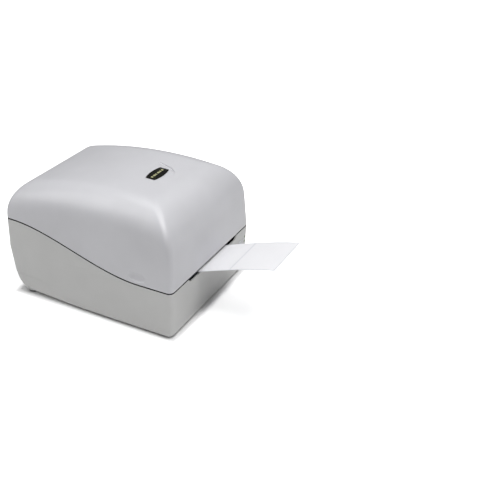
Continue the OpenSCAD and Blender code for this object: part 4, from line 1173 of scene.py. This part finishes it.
# ---- Studio, in metres and degrees ----
SENSOR_MM, LENS_MM, CAMERA_DOWN, CAMERA_TURN = 36, 57.626, 31.15, 62.65
CAMERA_AT = (-0.86045, -0.65039, 0.69427)
# Area lights: place, target, width and height, power in watts
LIGHTS = {
    "overhead": ((0.1, -0.2, 1.6), (0, 0, 0.1), (1.6, 1.6), 19.5),
    "rear_left": ((-0.7, 1.0, 1.2), (0, 0, 0.1), (1.0, 1.0), 6.8),
    "front_high": ((-0.3, -0.8, 1.9), (0, 0, 0.1), (0.8, 0.8), 10.4),
    "front_left": ((-0.7, -0.9, 1.7), (0, 0, 0.1), (0.8, 0.8), 1.2),
    "front_right": ((0.6, -1.4, 0.9), (0, 0, 0.1), (1.0, 1.0), 1.4),
    "edge_strip": ((-0.83, -1.23, 1.07), (-0.1, -0.14, 0.16), (0.05, 0.9), 1.1),
}
WORLD_LIGHT, FLOOR_HALF = 0.04, 6
# The floor's own glow rises to NEAR_GLOW within NEAR_FADE of the case, then to 1 between FAR_FADE's ends
NEAR_FADE, NEAR_GLOW, FAR_FADE = 0.012, 0.6, (0.15, 1.2)
# Half sizes of the case's footprint, where the floor doesn't glow
SHADE_X, SHADE_Y = HALF * 0.97 * MM, -FRONT * 0.965 * MM


def camera():
    data = bpy.data.cameras.new("camera")
    data.sensor_width = SENSOR_MM
    data.lens = LENS_MM
    data.clip_end = 20
    cam = new_object("camera", data)
    cam.location = CAMERA_AT
    cam.rotation_euler = (math.radians(90 - CAMERA_DOWN), 0, -math.radians(CAMERA_TURN))
    bpy.context.scene.camera = cam


def area_light(name, place, target, size, power):
    data = bpy.data.lights.new(name, "AREA")
    data.shape = "RECTANGLE"
    data.size, data.size_y = size
    data.energy = power
    lamp = new_object(name, data)
    lamp.location = place
    aim = Vector(target) - Vector(place)
    lamp.rotation_euler = aim.to_track_quat("-Z", "Y").to_euler()


def away_from_case(tree):
    """A value that is 0 under the case, and rises in two steps to 1 with the distance from it."""
    split = tree.nodes.new("ShaderNodeSeparateXYZ")
    tree.links.new(object_coords(tree), split.inputs[0])
    out = [calc(tree, "SUBTRACT", calc(tree, "ABSOLUTE", split.outputs[axis])[0], size)[0]
           for axis, size in (("X", SHADE_X), ("Y", SHADE_Y))]
    reach = calc(tree, "MAXIMUM", *out)[0]
    near = add_range(tree, reach, 0, NEAR_GLOW, 0, NEAR_FADE, "SMOOTHSTEP")
    distant = add_range(tree, reach, 0, 1 - NEAR_GLOW, *FAR_FADE, "SMOOTHSTEP")
    return calc(tree, "ADD", near, distant)[0]


def studio():
    """White surroundings for the camera only, dim ones for the light, the lamps and the floor."""
    world = bpy.data.worlds.new("studio")
    world.use_nodes = True
    tree = world.node_tree
    back = tree.nodes["Background"]
    path = tree.nodes.new("ShaderNodeLightPath")
    white = tree.nodes.new("ShaderNodeBackground")
    white.inputs["Color"].default_value = (1, 1, 1, 1)
    white.inputs["Strength"].default_value = 1.0
    back.inputs["Color"].default_value = (0.93, 0.95, 1, 1)
    back.inputs["Strength"].default_value = WORLD_LIGHT
    blend = tree.nodes.new("ShaderNodeMixShader")
    tree.links.new(path.outputs["Is Camera Ray"], blend.inputs["Fac"])
    tree.links.new(back.outputs[0], blend.inputs[1])
    tree.links.new(white.outputs[0], blend.inputs[2])
    tree.links.new(blend.outputs[0], tree.nodes["World Output"].inputs["Surface"])
    bpy.context.scene.world = world
    for name, light in LIGHTS.items():
        area_light(name, *light)
    corners = box_outline(-FLOOR_HALF, FLOOR_HALF, -FLOOR_HALF, FLOOR_HALF)
    floor = mesh_object("floor", [(x, y, 0) for x, y in corners], [(0, 1, 2, 3)], 1)
    mat, tree, shader = material("floor_white", (0.95, 0.95, 0.95), 0.9)
    shader.inputs["Emission Color"].default_value = (1, 1, 1, 1)
    seen = tree.nodes.new("ShaderNodeLightPath")
    glow = calc(tree, "MULTIPLY", seen.outputs["Is Camera Ray"], away_from_case(tree))[0]
    tree.links.new(glow, shader.inputs["Emission Strength"])
    dress(floor.data, mat)
    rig.stage(floor)
    bpy.context.scene.view_settings.view_transform = "Standard"


camera()
dress_nodes()
lid_shell()
base_shell()
label_web()
badge()
screws()
springs()
pins()
studio()
with open("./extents.json", "w") as out:
    json.dump({"cad": cad_box, "visual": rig.bounds()}, out, default=lambda v: [list(p) for p in v]
              if not isinstance(v, Vector) else list(v))
